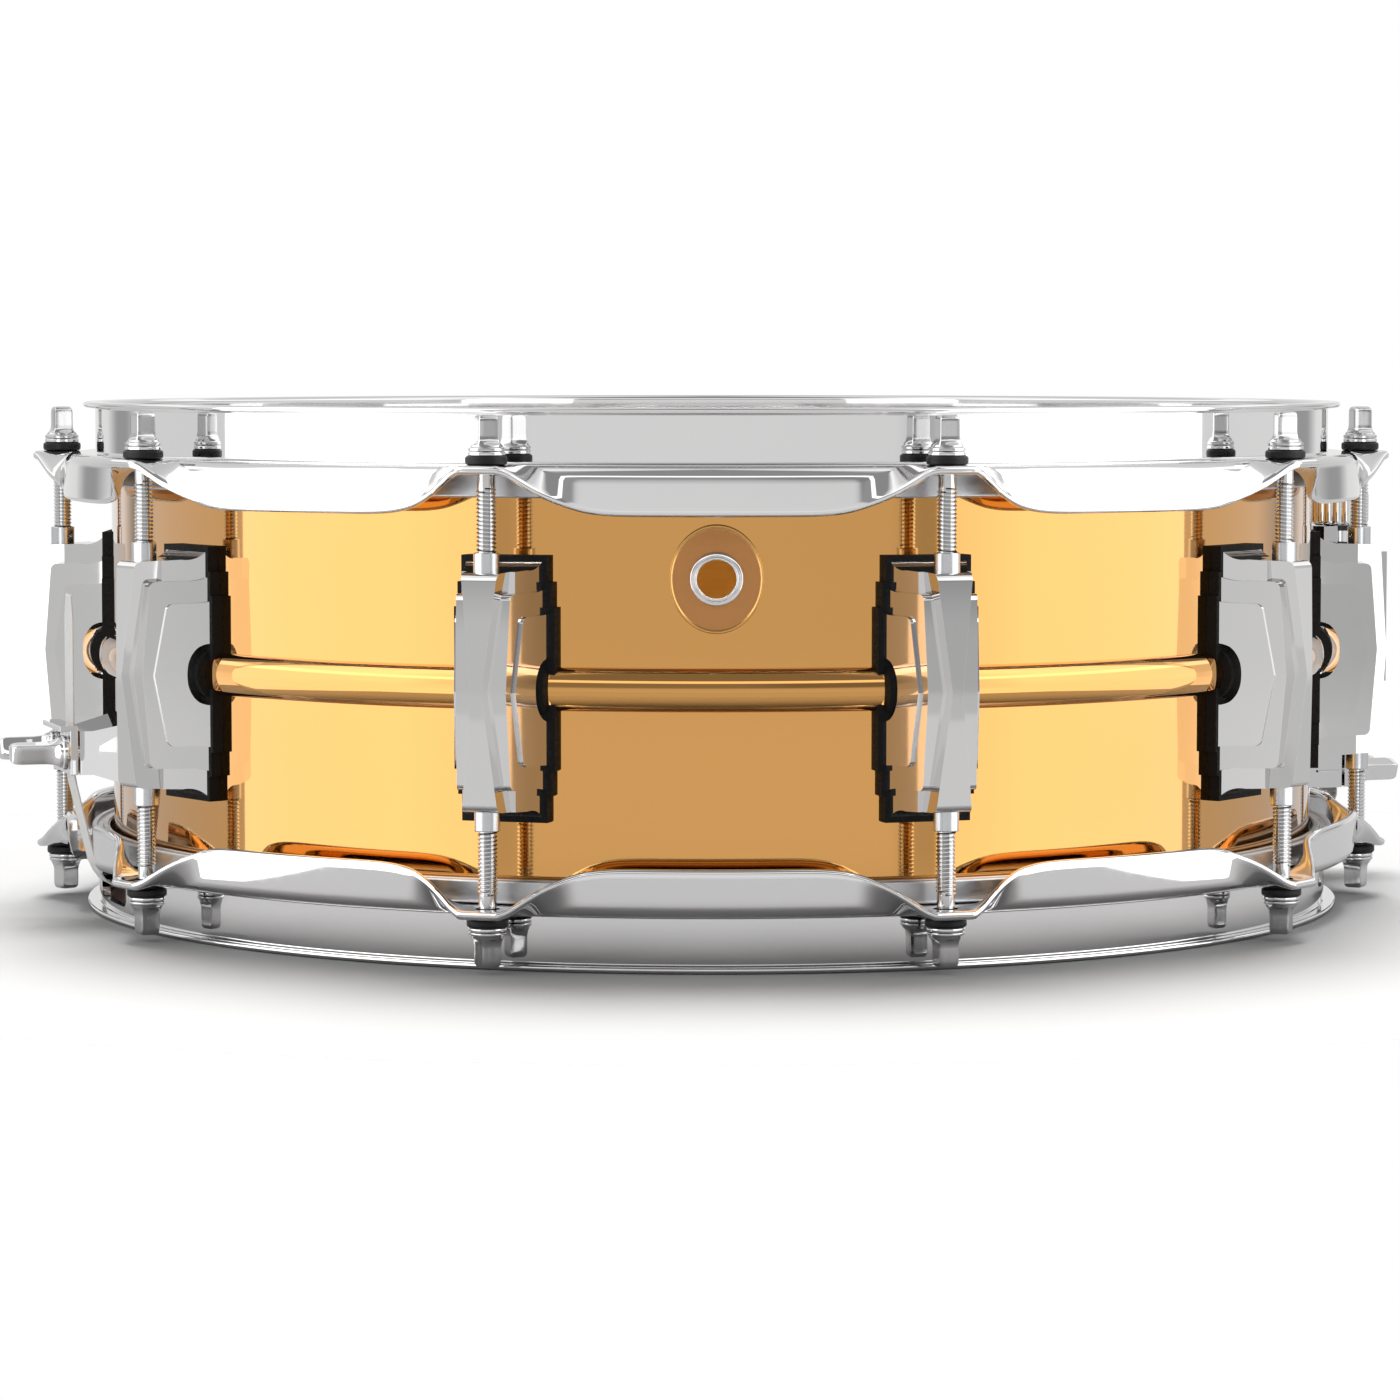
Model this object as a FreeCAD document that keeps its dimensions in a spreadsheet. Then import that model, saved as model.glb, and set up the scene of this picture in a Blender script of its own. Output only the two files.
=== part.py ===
"""Ten-lug 14 x 5 inch metal snare drum, modelled as an assembly of separate pieces.

Millimetres, +Z up. The drum's axis is Z and the bottom hoop stands on z = 0. Each fitting is drawn
in a radial frame (x outwards, y along the rim, z up) and turned to its bearing on the shell.
"""

import FreeCAD, Part
import math
import os

import Sketcher
from FreeCAD import Placement, Rotation, Vector

DOC = FreeCAD.newDocument("SnareDrum")

# Driving dimensions. A bearing is measured from the front of the drum (-Y) towards +X.
DIMENSIONS = {
    "TotalHeight": 147.0,
    "ShellRadius": 177.0,
    "ShellWall": 1.2,
    "ShellBottom": 10.0,
    "ShellDepth": 127.0,
    "FlangeReach": 7.0,
    "FlangeDrop": 3.0,
    "BeadHeight": 11.6,
    "BeadReach": 4.2,
    "VentRise": 102.5,
    "VentRadius": 5.05,
    "VentTube": 6.0,
    "VentRing": 7.0,
    "LugCount": 10,
    "FirstLug": 18.0,
    "RodCircle": 192.8,
    "GasketFace": 179.7,
    "NotchRadius": 7.2,
    "NotchCentre": 176.2,
    "LugScrewRise": 18.0,
    "LugScrewRadius": 2.5,
    "NutRadius": 3.4,
    "NutBore": 2.75,
    "NutReach": 36.2,
    "NutRoot": 17.0,
    "RodRadius": 2.7,
    "RodShank": 2.35,
    "RodEnd": 24.0,
    "KeySquare": 5.5,
    "KeyTall": 7.4,
    "KeyFlange": 4.95,
    "SteelWasher": 5.0,
    "BlackWasher": 5.5,
    "HoopInner": 179.2,
    "HoopOuter": 181.5,
    "HoopSheet": 2.3,
    "LipRadius": 185.0,
    "LipHeight": 2.0,
    "ShelfDepth": 14.7,
    "SkirtRadius": 190.8,
    "SkirtDepth": 26.4,
    "EarRadius": 199.5,
    "EarWidth": 34.0,
    "HeadFilm": 0.25,
    "FleshInner": 178.7,
    "FleshOuter": 183.5,
    "FleshTall": 6.4,
    "BadgeWidth": 24.6,
    "BadgeHeight": 28.5,
    "GateBearing": 108.0,
    "GateWidth": 40.0,
    "StrapWidth": 12.0,
    "StrapThick": 0.4,
    "ButtPlane": 193.0,
    "ThrowPlane": 203.0,
    "KnobAxis": 205.7,
    "KnobRadius": 9.2,
    "KnobBottom": 107.8,
    "KnobTop": 119.0,
    "StudRadius": 2.5,
    "LeverPivotOut": 200.0,
    "LeverPivotRise": 64.0,
    "LeverFace": 211.8,
    "CamThrow": 4.0,
    "WireCount": 20,
    "WirePitch": 2.15,
    "WireRadius": 0.9,
    "WireLength": 300.0,
}

SHEET = DOC.addObject("Spreadsheet::Sheet", "Dimensions")
for row, (alias, value) in enumerate(DIMENSIONS.items(), start=1):
    SHEET.set(f"A{row}", alias)
    SHEET.set(f"B{row}", str(value))
    SHEET.setAlias(f"B{row}", alias)
DOC.recompute()


def dim(alias):
    """The value that the sheet holds under this alias."""
    return float(SHEET.get(alias))


def size(text):
    """A sheet expression: every alias in text is looked up in the sheet."""
    words = sorted(DIMENSIONS, key=len, reverse=True)
    parts = [text]
    for word in words:
        split = []
        for part in parts:
            if part.startswith("Dimensions."):
                split.append(part)
                continue
            pieces = part.split(word)
            for index, piece in enumerate(pieces):
                split.append(piece)
                if index < len(pieces) - 1:
                    split.append("Dimensions." + word)
        parts = split
    return "".join(parts)


def value_of(text):
    """The number that an expression of aliases comes to."""
    cell = DOC.getObject("Scratch") or DOC.addObject("Part::Vertex", "Scratch")
    cell.setExpression("X", size(str(text)))
    cell.recompute()
    return float(cell.X)


MID = dim("ShellBottom") + dim("ShellDepth") / 2
TOP = dim("TotalHeight")
NODES = []


def bearing(degrees):
    """The placement that turns the radial frame to a bearing on the shell."""
    return Placement(Vector(0, 0, 0), Rotation(Vector(0, 0, 1), degrees - 90))


def lug_bearings():
    """The bearings of the lugs, evenly spaced and clear of the front."""
    step = 360.0 / dim("LugCount")
    return [dim("FirstLug") + step * index for index in range(int(dim("LugCount")))]


def node(obj, label, placement=None):
    """Registers obj as one sub-part, under its file's name."""
    obj.Label = label
    if placement is not None:
        obj.Placement = placement
    NODES.append(obj)
    return obj


def feature(shape, label, placement=None):
    """A sub-part whose shape is made with Part's own functions."""
    obj = DOC.addObject("Part::Feature", label)
    obj.Shape = shape
    return node(obj, label, (placement or Placement()).multiply(shape.Placement))


# ---- sketched bodies -------------------------------------------------------------------------


def plane_of(body, role):
    """The origin plane of a body, found by its role."""
    return next(item for item in body.Origin.OriginFeatures if item.Role == role)


def outline(body, role, points, name):
    """A closed sketch through points, each an (across, up) pair of sheet expressions."""
    sketch = body.newObject("Sketcher::SketchObject", name)
    sketch.AttachmentSupport = [(plane_of(body, role), "")]
    sketch.MapMode = "FlatFace"
    places = [Vector(value_of(across), value_of(up), 0) for across, up in points]
    count = len(points)
    for index, place in enumerate(places):
        sketch.addGeometry(Part.LineSegment(place, places[(index + 1) % count]), False)
    for index in range(count):
        sketch.addConstraint(
            Sketcher.Constraint("Coincident", index, 2, (index + 1) % count, 1)
        )
    for index, (across, up) in enumerate(points):
        for kind, text, number in (
            ("DistanceX", across, places[index].x),
            ("DistanceY", up, places[index].y),
        ):
            which = sketch.addConstraint(
                Sketcher.Constraint(kind, -1, 1, index, 1, number)
            )
            sketch.setExpression(f"Constraints[{which}]", size(str(text)))
    return sketch


def revolved(label, points):
    """A body turned about the drum's axis from one outline of (radius, height) expressions."""
    body = DOC.addObject("PartDesign::Body", label)
    sketch = outline(body, "XZ_Plane", points, label + "_profile")
    turn = body.newObject("PartDesign::Revolution", label + "_turn")
    turn.Profile = sketch
    turn.ReferenceAxis = (sketch, ["V_Axis"])
    turn.Angle = 360.0
    DOC.recompute()
    return body


# ---- primitives ------------------------------------------------------------------------------


def cylinder(name, radius, height, x=0, y=0, z=0, axis=Vector(0, 0, 1)):
    """A Part cylinder whose radius, height and base are sheet expressions."""
    obj = DOC.addObject("Part::Cylinder", name)
    obj.setExpression("Radius", size(str(radius)))
    obj.setExpression("Height", size(str(height)))
    obj.Placement = Placement(Vector(0, 0, 0), Rotation(Vector(0, 0, 1), axis))
    place(obj, x, y, z)
    return obj


def block(name, x, y, z, length, width, height):
    """A Part box from its low corner, with sheet expressions throughout."""
    obj = DOC.addObject("Part::Box", name)
    obj.setExpression("Length", size(str(length)))
    obj.setExpression("Width", size(str(width)))
    obj.setExpression("Height", size(str(height)))
    place(obj, x, y, z)
    return obj


def place(obj, x, y, z):
    """Binds an object's base point to the sheet."""
    for letter, text in zip("xyz", (x, y, z)):
        obj.setExpression(f"Placement.Base.{letter}", size(str(text)))


def fused(name, items):
    """The union of several objects, as a Part fusion."""
    obj = DOC.addObject("Part::MultiFuse", name)
    obj.Shapes = items
    obj.Refine = True
    return obj


def cut(name, base, items):
    """Base less each of the items, as a Part cut."""
    obj = DOC.addObject("Part::Cut", name)
    obj.Base = base
    obj.Tool = items[0] if len(items) == 1 else fused(name + "_tools", items)
    obj.Refine = True
    return obj


def ring(inner, outer, low, high):
    """A plain washer-like solid about Z."""
    solid = Part.makeCylinder(outer, high - low, Vector(0, 0, low))
    return solid.cut(Part.makeCylinder(inner, high - low, Vector(0, 0, low)))


def turned(shape, degrees):
    """A copy of a shape, carried to a bearing."""
    copy = shape.copy()
    copy.Placement = bearing(degrees).multiply(copy.Placement)
    return copy


def flipped(shape):
    """A copy of a shape, mirrored in the drum's middle plane."""
    return shape.mirror(Vector(0, 0, MID), Vector(0, 0, 1))


def group(shapes):
    """Separate solids that share one node."""
    solids = []
    for shape in shapes:
        solids += shape.Solids
    return Part.makeCompound(solids)


# ---- shell -----------------------------------------------------------------------------------


def bead_profile(grow):
    """The half-round bead's outline on the XZ plane, enlarged by grow."""
    radius = dim("ShellRadius")
    half = dim("BeadHeight") / 2 + grow
    reach = dim("BeadReach") + grow
    low, high = Vector(radius, 0, MID - half), Vector(radius, 0, MID + half)
    arc = Part.Arc(low, Vector(radius + reach, 0, MID), high).toShape()
    inner = radius - dim("ShellWall") * 0.8
    back = Part.makePolygon(
        [high, Vector(inner, 0, MID + half), Vector(inner, 0, MID - half), low]
    )
    return Part.Face(Part.Wire([arc] + back.Edges))


def bead(grow=0.0):
    """The rolled bead as a solid ring."""
    return bead_profile(grow).revolve(Vector(0, 0, 0), Vector(0, 0, 1), 360)


def shell():
    """The rolled brass shell: inward flanges, centre bead, vent, screw holes and snare beds."""
    wall = revolved(
        "shell_wall",
        [
            ("ShellRadius-FlangeReach", "ShellBottom+FlangeDrop"),
            ("ShellRadius-FlangeReach", "ShellBottom+FlangeDrop-ShellWall"),
            ("ShellRadius-2.6", "ShellBottom"),
            ("ShellRadius-1", "ShellBottom+0.5"),
            ("ShellRadius", "ShellBottom+2"),
            ("ShellRadius", "ShellBottom+ShellDepth-2"),
            ("ShellRadius-1", "ShellBottom+ShellDepth-0.5"),
            ("ShellRadius-2.6", "ShellBottom+ShellDepth"),
            ("ShellRadius-FlangeReach", "ShellBottom+ShellDepth-FlangeDrop+ShellWall"),
            ("ShellRadius-FlangeReach", "ShellBottom+ShellDepth-FlangeDrop"),
            ("ShellRadius-ShellWall-1.6", "ShellBottom+ShellDepth-ShellWall-0.3"),
            ("ShellRadius-ShellWall", "ShellBottom+ShellDepth-2.6"),
            ("ShellRadius-ShellWall", "ShellBottom+2.6"),
            ("ShellRadius-ShellWall-1.6", "ShellBottom+ShellWall+0.3"),
        ],
    )
    ridge = bead()
    hollow = bead_profile(-dim("ShellWall")).revolve(Vector(0, 0, 0), Vector(0, 0, 1), 360)
    body = wall.Shape.fuse(ridge).cut(hollow)
    wall.Visibility = False
    holes = []
    outer = dim("ShellRadius") + 3
    for degrees in lug_bearings():
        for rise in (-dim("LugScrewRise"), dim("LugScrewRise")):
            start = Vector(outer - 12, 0, MID + rise)
            hole = Part.makeCylinder(dim("LugScrewRadius") + 0.2, 12, start, Vector(1, 0, 0))
            holes.append(turned(hole, degrees))
    for degrees, across, heights in BRACKET_HOLES:
        for rise in heights:
            start = Vector(outer - 12, across, rise)
            hole = Part.makeCylinder(2.2, 12, start, Vector(1, 0, 0))
            holes.append(turned(hole, degrees))
    vent = Part.makeCylinder(
        dim("VentRadius") + 0.6, 12, Vector(outer - 12, 0, dim("VentRise")), Vector(1, 0, 0)
    )
    holes.append(turned(vent, 0))
    for degrees in (dim("GateBearing"), dim("GateBearing") - 180):
        bed = Part.makeCylinder(
            110, 30, Vector(outer - 26, 0, dim("ShellBottom") - 109.0), Vector(1, 0, 0)
        )
        holes.append(turned(bed, degrees))
    return feature(body.cut(holes[:-2]).cut(holes[-2:]).removeSplitter(), "shell")


BRACKET_HOLES = (
    (dim("GateBearing"), 0.0, (90.0,)),
    (dim("GateBearing"), -11.0, (52.0,)),
    (dim("GateBearing"), 11.0, (52.0,)),
    (dim("GateBearing") - 180, -14.5, (47.5,)),
    (dim("GateBearing") - 180, 14.5, (47.5,)),
)


# ---- heads and hoops -------------------------------------------------------------------------


def heads():
    """Batter and snare heads, each a film with a formed collar, and their flesh hoops."""
    film = [
        ("0", "ShellBottom-HeadFilm"),
        ("ShellRadius-2.6", "ShellBottom-HeadFilm"),
        ("ShellRadius-0.6", "ShellBottom+0.1"),
        ("ShellRadius+0.6", "ShellBottom+1.8"),
        ("FleshInner-0.1", "ShellBottom+4"),
        ("FleshInner-0.1", "ShellBottom+FleshTall+7"),
        ("FleshInner-0.1-HeadFilm", "ShellBottom+FleshTall+7"),
        ("FleshInner-0.1-HeadFilm", "ShellBottom+4"),
        ("ShellRadius+0.35", "ShellBottom+2"),
        ("ShellRadius-0.8", "ShellBottom+0.3"),
        ("ShellRadius-2.6", "ShellBottom"),
        ("0", "ShellBottom"),
    ]
    node(revolved("snare_head_body", film), "snare_head")
    upper = [(across, f"TotalHeight-({up})") for across, up in film]
    node(revolved("batter_head_body", upper), "batter_head")
    for label, low in (
        ("snare_flesh_hoop", "ShelfDepth+HoopSheet+0.05"),
        ("batter_flesh_hoop", "TotalHeight-ShelfDepth-HoopSheet-0.05-FleshTall"),
    ):
        points = [
            ("FleshInner", low),
            ("FleshOuter", low),
            ("FleshOuter", f"{low}+FleshTall"),
            ("FleshInner", f"{low}+FleshTall"),
        ]
        node(revolved(label + "_body", points), label)


def hoop_blank():
    """A triple-flanged hoop before its ears: lip below, collar, shelf and turned-up skirt."""
    return revolved(
        "hoop_blank",
        [
            ("HoopInner", "0.8"),
            ("HoopInner+0.8", "0"),
            ("LipRadius-1", "0"),
            ("LipRadius", "0.9"),
            ("LipRadius", "LipHeight-0.7"),
            ("LipRadius-0.8", "LipHeight"),
            ("HoopOuter+0.6", "LipHeight"),
            ("HoopOuter", "LipHeight+0.6"),
            ("HoopOuter", "ShelfDepth-0.8"),
            ("HoopOuter+0.8", "ShelfDepth"),
            ("SkirtRadius-2.4", "ShelfDepth"),
            ("SkirtRadius-0.4", "ShelfDepth+1.2"),
            ("SkirtRadius", "ShelfDepth+3"),
            ("SkirtRadius", "SkirtDepth"),
            ("SkirtRadius-HoopSheet", "SkirtDepth"),
            ("SkirtRadius-HoopSheet", "ShelfDepth+HoopSheet+1.4"),
            ("SkirtRadius-HoopSheet-0.9", "ShelfDepth+HoopSheet"),
            ("HoopInner+1.2", "ShelfDepth+HoopSheet"),
            ("HoopInner", "ShelfDepth+HoopSheet-1.2"),
        ],
    )


def ear(degrees):
    """One flat ear and its sloping shoulders, with the rod's hole, in the snare hoop's place."""
    low, sheet = dim("ShelfDepth"), dim("HoopSheet")
    inner, outer = dim("HoopOuter") - 0.5, dim("EarRadius")
    half = dim("EarWidth") / 2
    tongue = [
        Vector(inner, -half, low),
        Vector(dim("SkirtRadius") - 1.0, -half, low),
        Vector(outer - 3.5, -half * 0.55, low),
        Vector(outer, -half * 0.25, low),
        Vector(outer, half * 0.25, low),
        Vector(outer - 3.5, half * 0.55, low),
        Vector(dim("SkirtRadius") - 1.0, half, low),
        Vector(inner, half, low),
    ]
    plate = Part.Face(Part.makePolygon(tongue + tongue[:1])).extrude(Vector(0, 0, sheet))
    hole = Part.makeCylinder(
        dim("RodRadius") + 0.5, 3 * sheet, Vector(dim("RodCircle"), 0, low - sheet)
    )
    return turned(plate.cut(hole), degrees)


def hoops():
    """Snare-side and batter-side hoops: one blank, cut and given an ear at every rod."""
    blank = hoop_blank()
    blank.Visibility = False
    body = blank.Shape
    low = dim("ShelfDepth") + dim("HoopSheet")
    skirt = ring(dim("HoopOuter") + 3, dim("EarRadius"), low, dim("SkirtDepth") + 1)
    rod = dim("RodCircle")
    clear = []
    holes = []
    for degrees in lug_bearings():
        half = dim("EarWidth") / 2
        sector = Part.makeBox(60, 2 * half, 30, Vector(rod - 30, -half, low))
        clear.append(turned(sector, degrees).common(skirt))
        holes.append(
            turned(Part.makeCylinder(dim("RodRadius") + 0.5, 30, Vector(rod, 0, 0)), degrees)
        )
    body = body.cut(clear).fuse([ear(degrees) for degrees in lug_bearings()]).cut(holes)
    body = body.removeSplitter()
    feature(flipped(body), "batter_hoop")
    half = dim("GateWidth") / 2
    gates = []
    for degrees in (dim("GateBearing"), dim("GateBearing") - 180):
        mouth = Part.makeBox(40, 2 * half, 40, Vector(rod - 10, -half, dim("LipHeight") + 2))
        slot = Part.makeBox(
            40, dim("StrapWidth") + 4, 30, Vector(170, -dim("StrapWidth") / 2 - 2, 4.2)
        )
        shelf = Part.makeBox(
            40, 2 * half - 8, 30, Vector(dim("HoopOuter") + 1.2, 4 - half, dim("LipHeight") + 2)
        )
        gates += [turned(mouth, degrees), turned(slot, degrees), turned(shelf, degrees)]
    feature(body.cut(gates), "snare_hoop")


# ---- lugs and tension rods -------------------------------------------------------------------


def tier(front_end, front_mid, half_height, half_base, half_front, flare, corner):
    """One step of a lug: a chevron-fronted block that narrows from the gasket outwards."""
    back = dim("GasketFace")
    high = half_height + flare
    waist = back + 6.5
    slope = (front_mid - front_end) / half_height
    top = half_height - corner
    upper = [
        Vector(back, 0, high),
        Vector(waist, 0, half_height + flare * 0.18),
        Vector(front_end - corner, 0, half_height),
        Vector(front_end + slope * corner, 0, top),
        Vector(front_mid, 0, 0),
    ]
    arc = Part.Arc(
        upper[0], Vector((back + waist) / 2 - 0.9, 0, half_height + flare * 0.36), upper[1]
    )
    nose = Part.Arc(
        upper[2], Vector(front_end - 0.3 * corner, 0, half_height - 0.3 * corner), upper[3]
    )
    edges = [
        arc.toShape(),
        Part.makeLine(upper[1], upper[2]),
        nose.toShape(),
        Part.makeLine(upper[3], upper[4]),
    ]
    mirror = [edge.mirror(Vector(0, 0, 0), Vector(0, 0, 1)) for edge in edges]
    closing = Part.makeLine(upper[0], Vector(back, 0, -high))
    side = Part.Face(Part.Wire(Part.__sortEdges__(edges + mirror + [closing])))
    side.translate(Vector(0, -20, 0))
    prism = side.extrude(Vector(0, 40, 0))
    draft = (half_base - half_front) / (front_end - back)
    tip = half_base - draft * (front_mid + 1 - back)
    plan = [
        Vector(back, -half_base, -40),
        Vector(front_mid + 1, -tip, -40),
        Vector(front_mid + 1, tip, -40),
        Vector(back, half_base, -40),
    ]
    wedge = Part.Face(Part.makePolygon(plan + plan[:1])).extrude(Vector(0, 0, 80))
    return prism.common(wedge)


def bow_tie(half_height):
    """The ridge's front outline: wide at both ends and pinched at the bead."""
    sections = []
    for reach, end, waist in ((186.0, 7.2, 3.4), (202.0, 4.9, 1.3)):
        tall = half_height + 4
        corners = [
            Vector(reach, -end, -tall),
            Vector(reach, -waist, 0),
            Vector(reach, -end, tall),
            Vector(reach, end, tall),
            Vector(reach, waist, 0),
            Vector(reach, end, -tall),
        ]
        sections.append(Part.makePolygon(corners + corners[:1]))
    return Part.makeLoft(sections, True, True)


def lug_shape():
    """A lug casting at bearing 90: three chevron steps, two rod bores and two screw bores."""
    fin = tier(191.0, 194.6, 19.5, 12.6, 9.5, 0.4, 1.6)
    step = tier(195.4, 197.5, 25.5, 11.6, 7.45, 1.0, 1.6)
    base = tier(198.6, 201.0, 31.0, 10.6, 5.4, 2.4, 2.0)
    front = Part.makeBox(20, 40, 90, Vector(191.5, -20, -45))
    ridge = base.common(front).common(bow_tie(31.0))
    casting = base.cut(front).fuse([step, fin, ridge])
    casting.translate(Vector(0, 0, MID))
    rod = dim("RodCircle")
    tools = []
    for side in (1, -1):
        up = Vector(0, 0, side)
        root = Vector(rod, 0, MID + side * dim("NutRoot"))
        tools.append(Part.makeCylinder(dim("NutRadius") + 0.02, 20, root, up))
        screw = Vector(dim("GasketFace") - 1, 0, MID + side * dim("LugScrewRise"))
        tools.append(
            Part.makeCylinder(dim("LugScrewRadius") + 0.02, 7.0, screw, Vector(1, 0, 0))
        )
    tools.append(
        Part.makeCylinder(
            dim("NotchRadius"), 40, Vector(dim("NotchCentre"), -20, MID), Vector(0, 1, 0)
        )
    )
    return casting.cut(tools).removeSplitter()


def lugs():
    """Ten lugs, one node each."""
    shape = lug_shape()
    for index, degrees in enumerate(lug_bearings(), start=1):
        feature(shape, f"lug_{index:02d}", bearing(degrees))


def gasket_shape():
    """The rubber pad behind a lug: a stepped outline that wraps over the bead."""
    steps = ((14.0, 21.4), (13.0, 28.0), (11.9, 35.0))
    pads = []
    for half, tall in steps:
        pads.append(Part.makeBox(8, 2 * half, 2 * tall, Vector(171.7, -half, MID - tall)))
    saddle = Part.makeCylinder(
        dim("NotchRadius") - 0.02, 24, Vector(dim("NotchCentre"), -12, MID), Vector(0, 1, 0)
    )
    pad = pads[0].fuse(pads[1:] + [saddle]).removeSplitter()
    inner = Part.makeCylinder(dim("ShellRadius") + 0.02, 90, Vector(0, 0, MID - 45))
    holes = [inner, bead(0.05)]
    for rise in (-dim("LugScrewRise"), dim("LugScrewRise")):
        start = Vector(170, 0, MID + rise)
        holes.append(
            Part.makeCylinder(dim("LugScrewRadius") + 0.05, 12, start, Vector(1, 0, 0))
        )
    return pad.cut(holes)


def lug_screw(rise):
    """A lug screw and its washer, put in from inside the shell."""
    inside = dim("ShellRadius") - dim("ShellWall") - 0.1
    radius = dim("LugScrewRadius")
    out = Vector(1, 0, 0)
    washer = Part.makeCylinder(5.0, 1.0, Vector(inside - 1.0, 0, rise), out).cut(
        Part.makeCylinder(radius, 3, Vector(inside - 2, 0, rise), out)
    )
    head = Part.makeCylinder(4.0, 3.4, Vector(inside - 4.4, 0, rise), out)
    slot = Part.makeBox(1.2, 1.2, 9, Vector(inside - 4.5, -0.6, rise - 4.5))
    shank = Part.makeCylinder(radius, 11.8, Vector(inside - 2.0, 0, rise), out)
    return [washer, head.cut(slot).fuse(shank)]


def lug_fixings():
    """Gaskets, lug screws with washers and swivel nuts: three groups of separate solids."""
    rod = dim("RodCircle")
    sleeve = ring(dim("NutBore"), dim("NutRadius"), dim("NutRoot"), dim("NutReach"))
    sleeve.translate(Vector(rod, 0, MID))
    pad = gasket_shape()
    screws = lug_screw(MID + dim("LugScrewRise")) + lug_screw(MID - dim("LugScrewRise"))
    pads, nuts, bolts = [], [], []
    for degrees in lug_bearings():
        pads.append(turned(pad, degrees))
        nuts += [turned(sleeve, degrees), flipped(turned(sleeve, degrees))]
        bolts += [turned(screw, degrees) for screw in screws]
    feature(group(pads), "lug_gaskets")
    feature(group(nuts), "swivel_nuts")
    feature(group(bolts), "lug_screws")


def key_head(base):
    """A square key head on its round flange, rising from base along Z."""
    side = dim("KeySquare")
    flange = Part.makeCone(dim("KeyFlange"), 3.3, 1.6, Vector(0, 0, base))
    square = Part.makeBox(side, side, dim("KeyTall"), Vector(-side / 2, -side / 2, base + 0.6))
    cap = Part.makeSphere(9.2, Vector(0, 0, base + 0.6 + dim("KeyTall") - 9.2))
    return flange.fuse(square.common(cap))


def tension_rod_shape():
    """A batter rod at bearing 90: key head, plain shank and threaded length."""
    seat = TOP - dim("ShelfDepth") + 3.6
    foot = MID + dim("RodEnd")
    neck = TOP - dim("ShelfDepth") - dim("HoopSheet") - 4.0
    shank = Part.makeCylinder(dim("RodShank"), seat + 1 - neck, Vector(0, 0, neck))
    thread = Part.makeCylinder(dim("RodRadius"), neck - foot, Vector(0, 0, foot))
    rod = key_head(seat).fuse([shank, thread]).removeSplitter()
    rod.translate(Vector(dim("RodCircle"), 0, 0))
    return rod


def tension_rods():
    """Twenty tension rods, one node each, and the steel and black washers under their heads."""
    shape = tension_rod_shape()
    shelf = TOP - dim("ShelfDepth")
    rod = dim("RodCircle")
    black = ring(dim("RodShank") + 0.1, dim("BlackWasher"), shelf + 0.02, shelf + 2.4)
    steel = ring(dim("RodShank") + 0.1, dim("SteelWasher"), shelf + 2.42, shelf + 3.5)
    blacks, steels = [], []
    for index, degrees in enumerate(lug_bearings(), start=1):
        feature(turned(shape, degrees), f"batter_rod_{index:02d}")
        feature(flipped(turned(shape, degrees)), f"snare_rod_{index:02d}")
        for washer, pile in ((black, blacks), (steel, steels)):
            loose = washer.copy()
            loose.translate(Vector(rod, 0, 0))
            pile += [turned(loose, degrees), flipped(turned(loose, degrees))]
    feature(group(blacks), "rod_black_washers")
    feature(group(steels), "rod_steel_washers")


# ---- badge and vent --------------------------------------------------------------------------


def badge_and_vent():
    """A plain oval plate curved to the shell, held by a flared vent grommet."""
    radius, rise = dim("ShellRadius"), dim("VentRise")
    out = Vector(1, 0, 0)
    oval = Part.Ellipse(Vector(0, 0, 0), dim("BadgeHeight") / 2, dim("BadgeWidth") / 2)
    face = Part.Face(Part.Wire(oval.toShape()))
    face.Placement = Placement(
        Vector(165, 0, rise), Rotation(Vector(0, 0, 1), Vector(0, 1, 0), Vector(1, 0, 0), "ZXY")
    )
    plate = face.extrude(Vector(30, 0, 0))
    curve = ring(radius + 0.02, radius + 0.7, rise - 20, rise + 20)
    bore = Part.makeCylinder(dim("VentRadius") + 0.62, 30, Vector(165, 0, rise), out)
    feature(plate.common(curve).cut(bore), "badge", bearing(0))
    inside = radius - dim("ShellWall")
    tube = Part.makeCylinder(
        dim("VentRadius") + 0.55, dim("VentTube") - 2.0, Vector(inside - 1.2, 0, rise), out
    )
    flange = Part.makeCylinder(dim("VentRing"), 1.3, Vector(radius + 0.72, 0, rise), out)
    crest = Part.makeTorus(dim("VentRing") - 1.0, 0.9, Vector(radius + 1.9, 0, rise), out)
    nut = Part.makeCylinder(dim("VentRing"), 1.2, Vector(inside - 1.6, 0, rise), out)
    hole = Part.makeCylinder(dim("VentRadius"), 30, Vector(165, 0, rise), out)
    grommet = tube.fuse([flange, crest, nut]).cut(hole)
    feature(grommet.removeSplitter(), "vent_grommet", bearing(0))


# ---- strainer --------------------------------------------------------------------------------


def clamp_screw(name, seat, across, rise, tip, depth):
    """A key-headed clamp screw pointing outwards, with its flange against seat."""
    out = Vector(1, 0, 0)
    flange = cylinder(name + "_flange", 4.6, 1.6, seat, across, rise, out)
    head = block(
        name + "_head",
        f"{seat}+1.6",
        f"{across}-KeySquare/2",
        f"{rise}-KeySquare/2",
        f"{tip}-{seat}-1.6",
        "KeySquare",
        "KeySquare",
    )
    shank = cylinder(name + "_shank", 2.0, depth, f"{seat}-{depth}", across, rise, out)
    return fused(name, [flange, head, shank])


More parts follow.
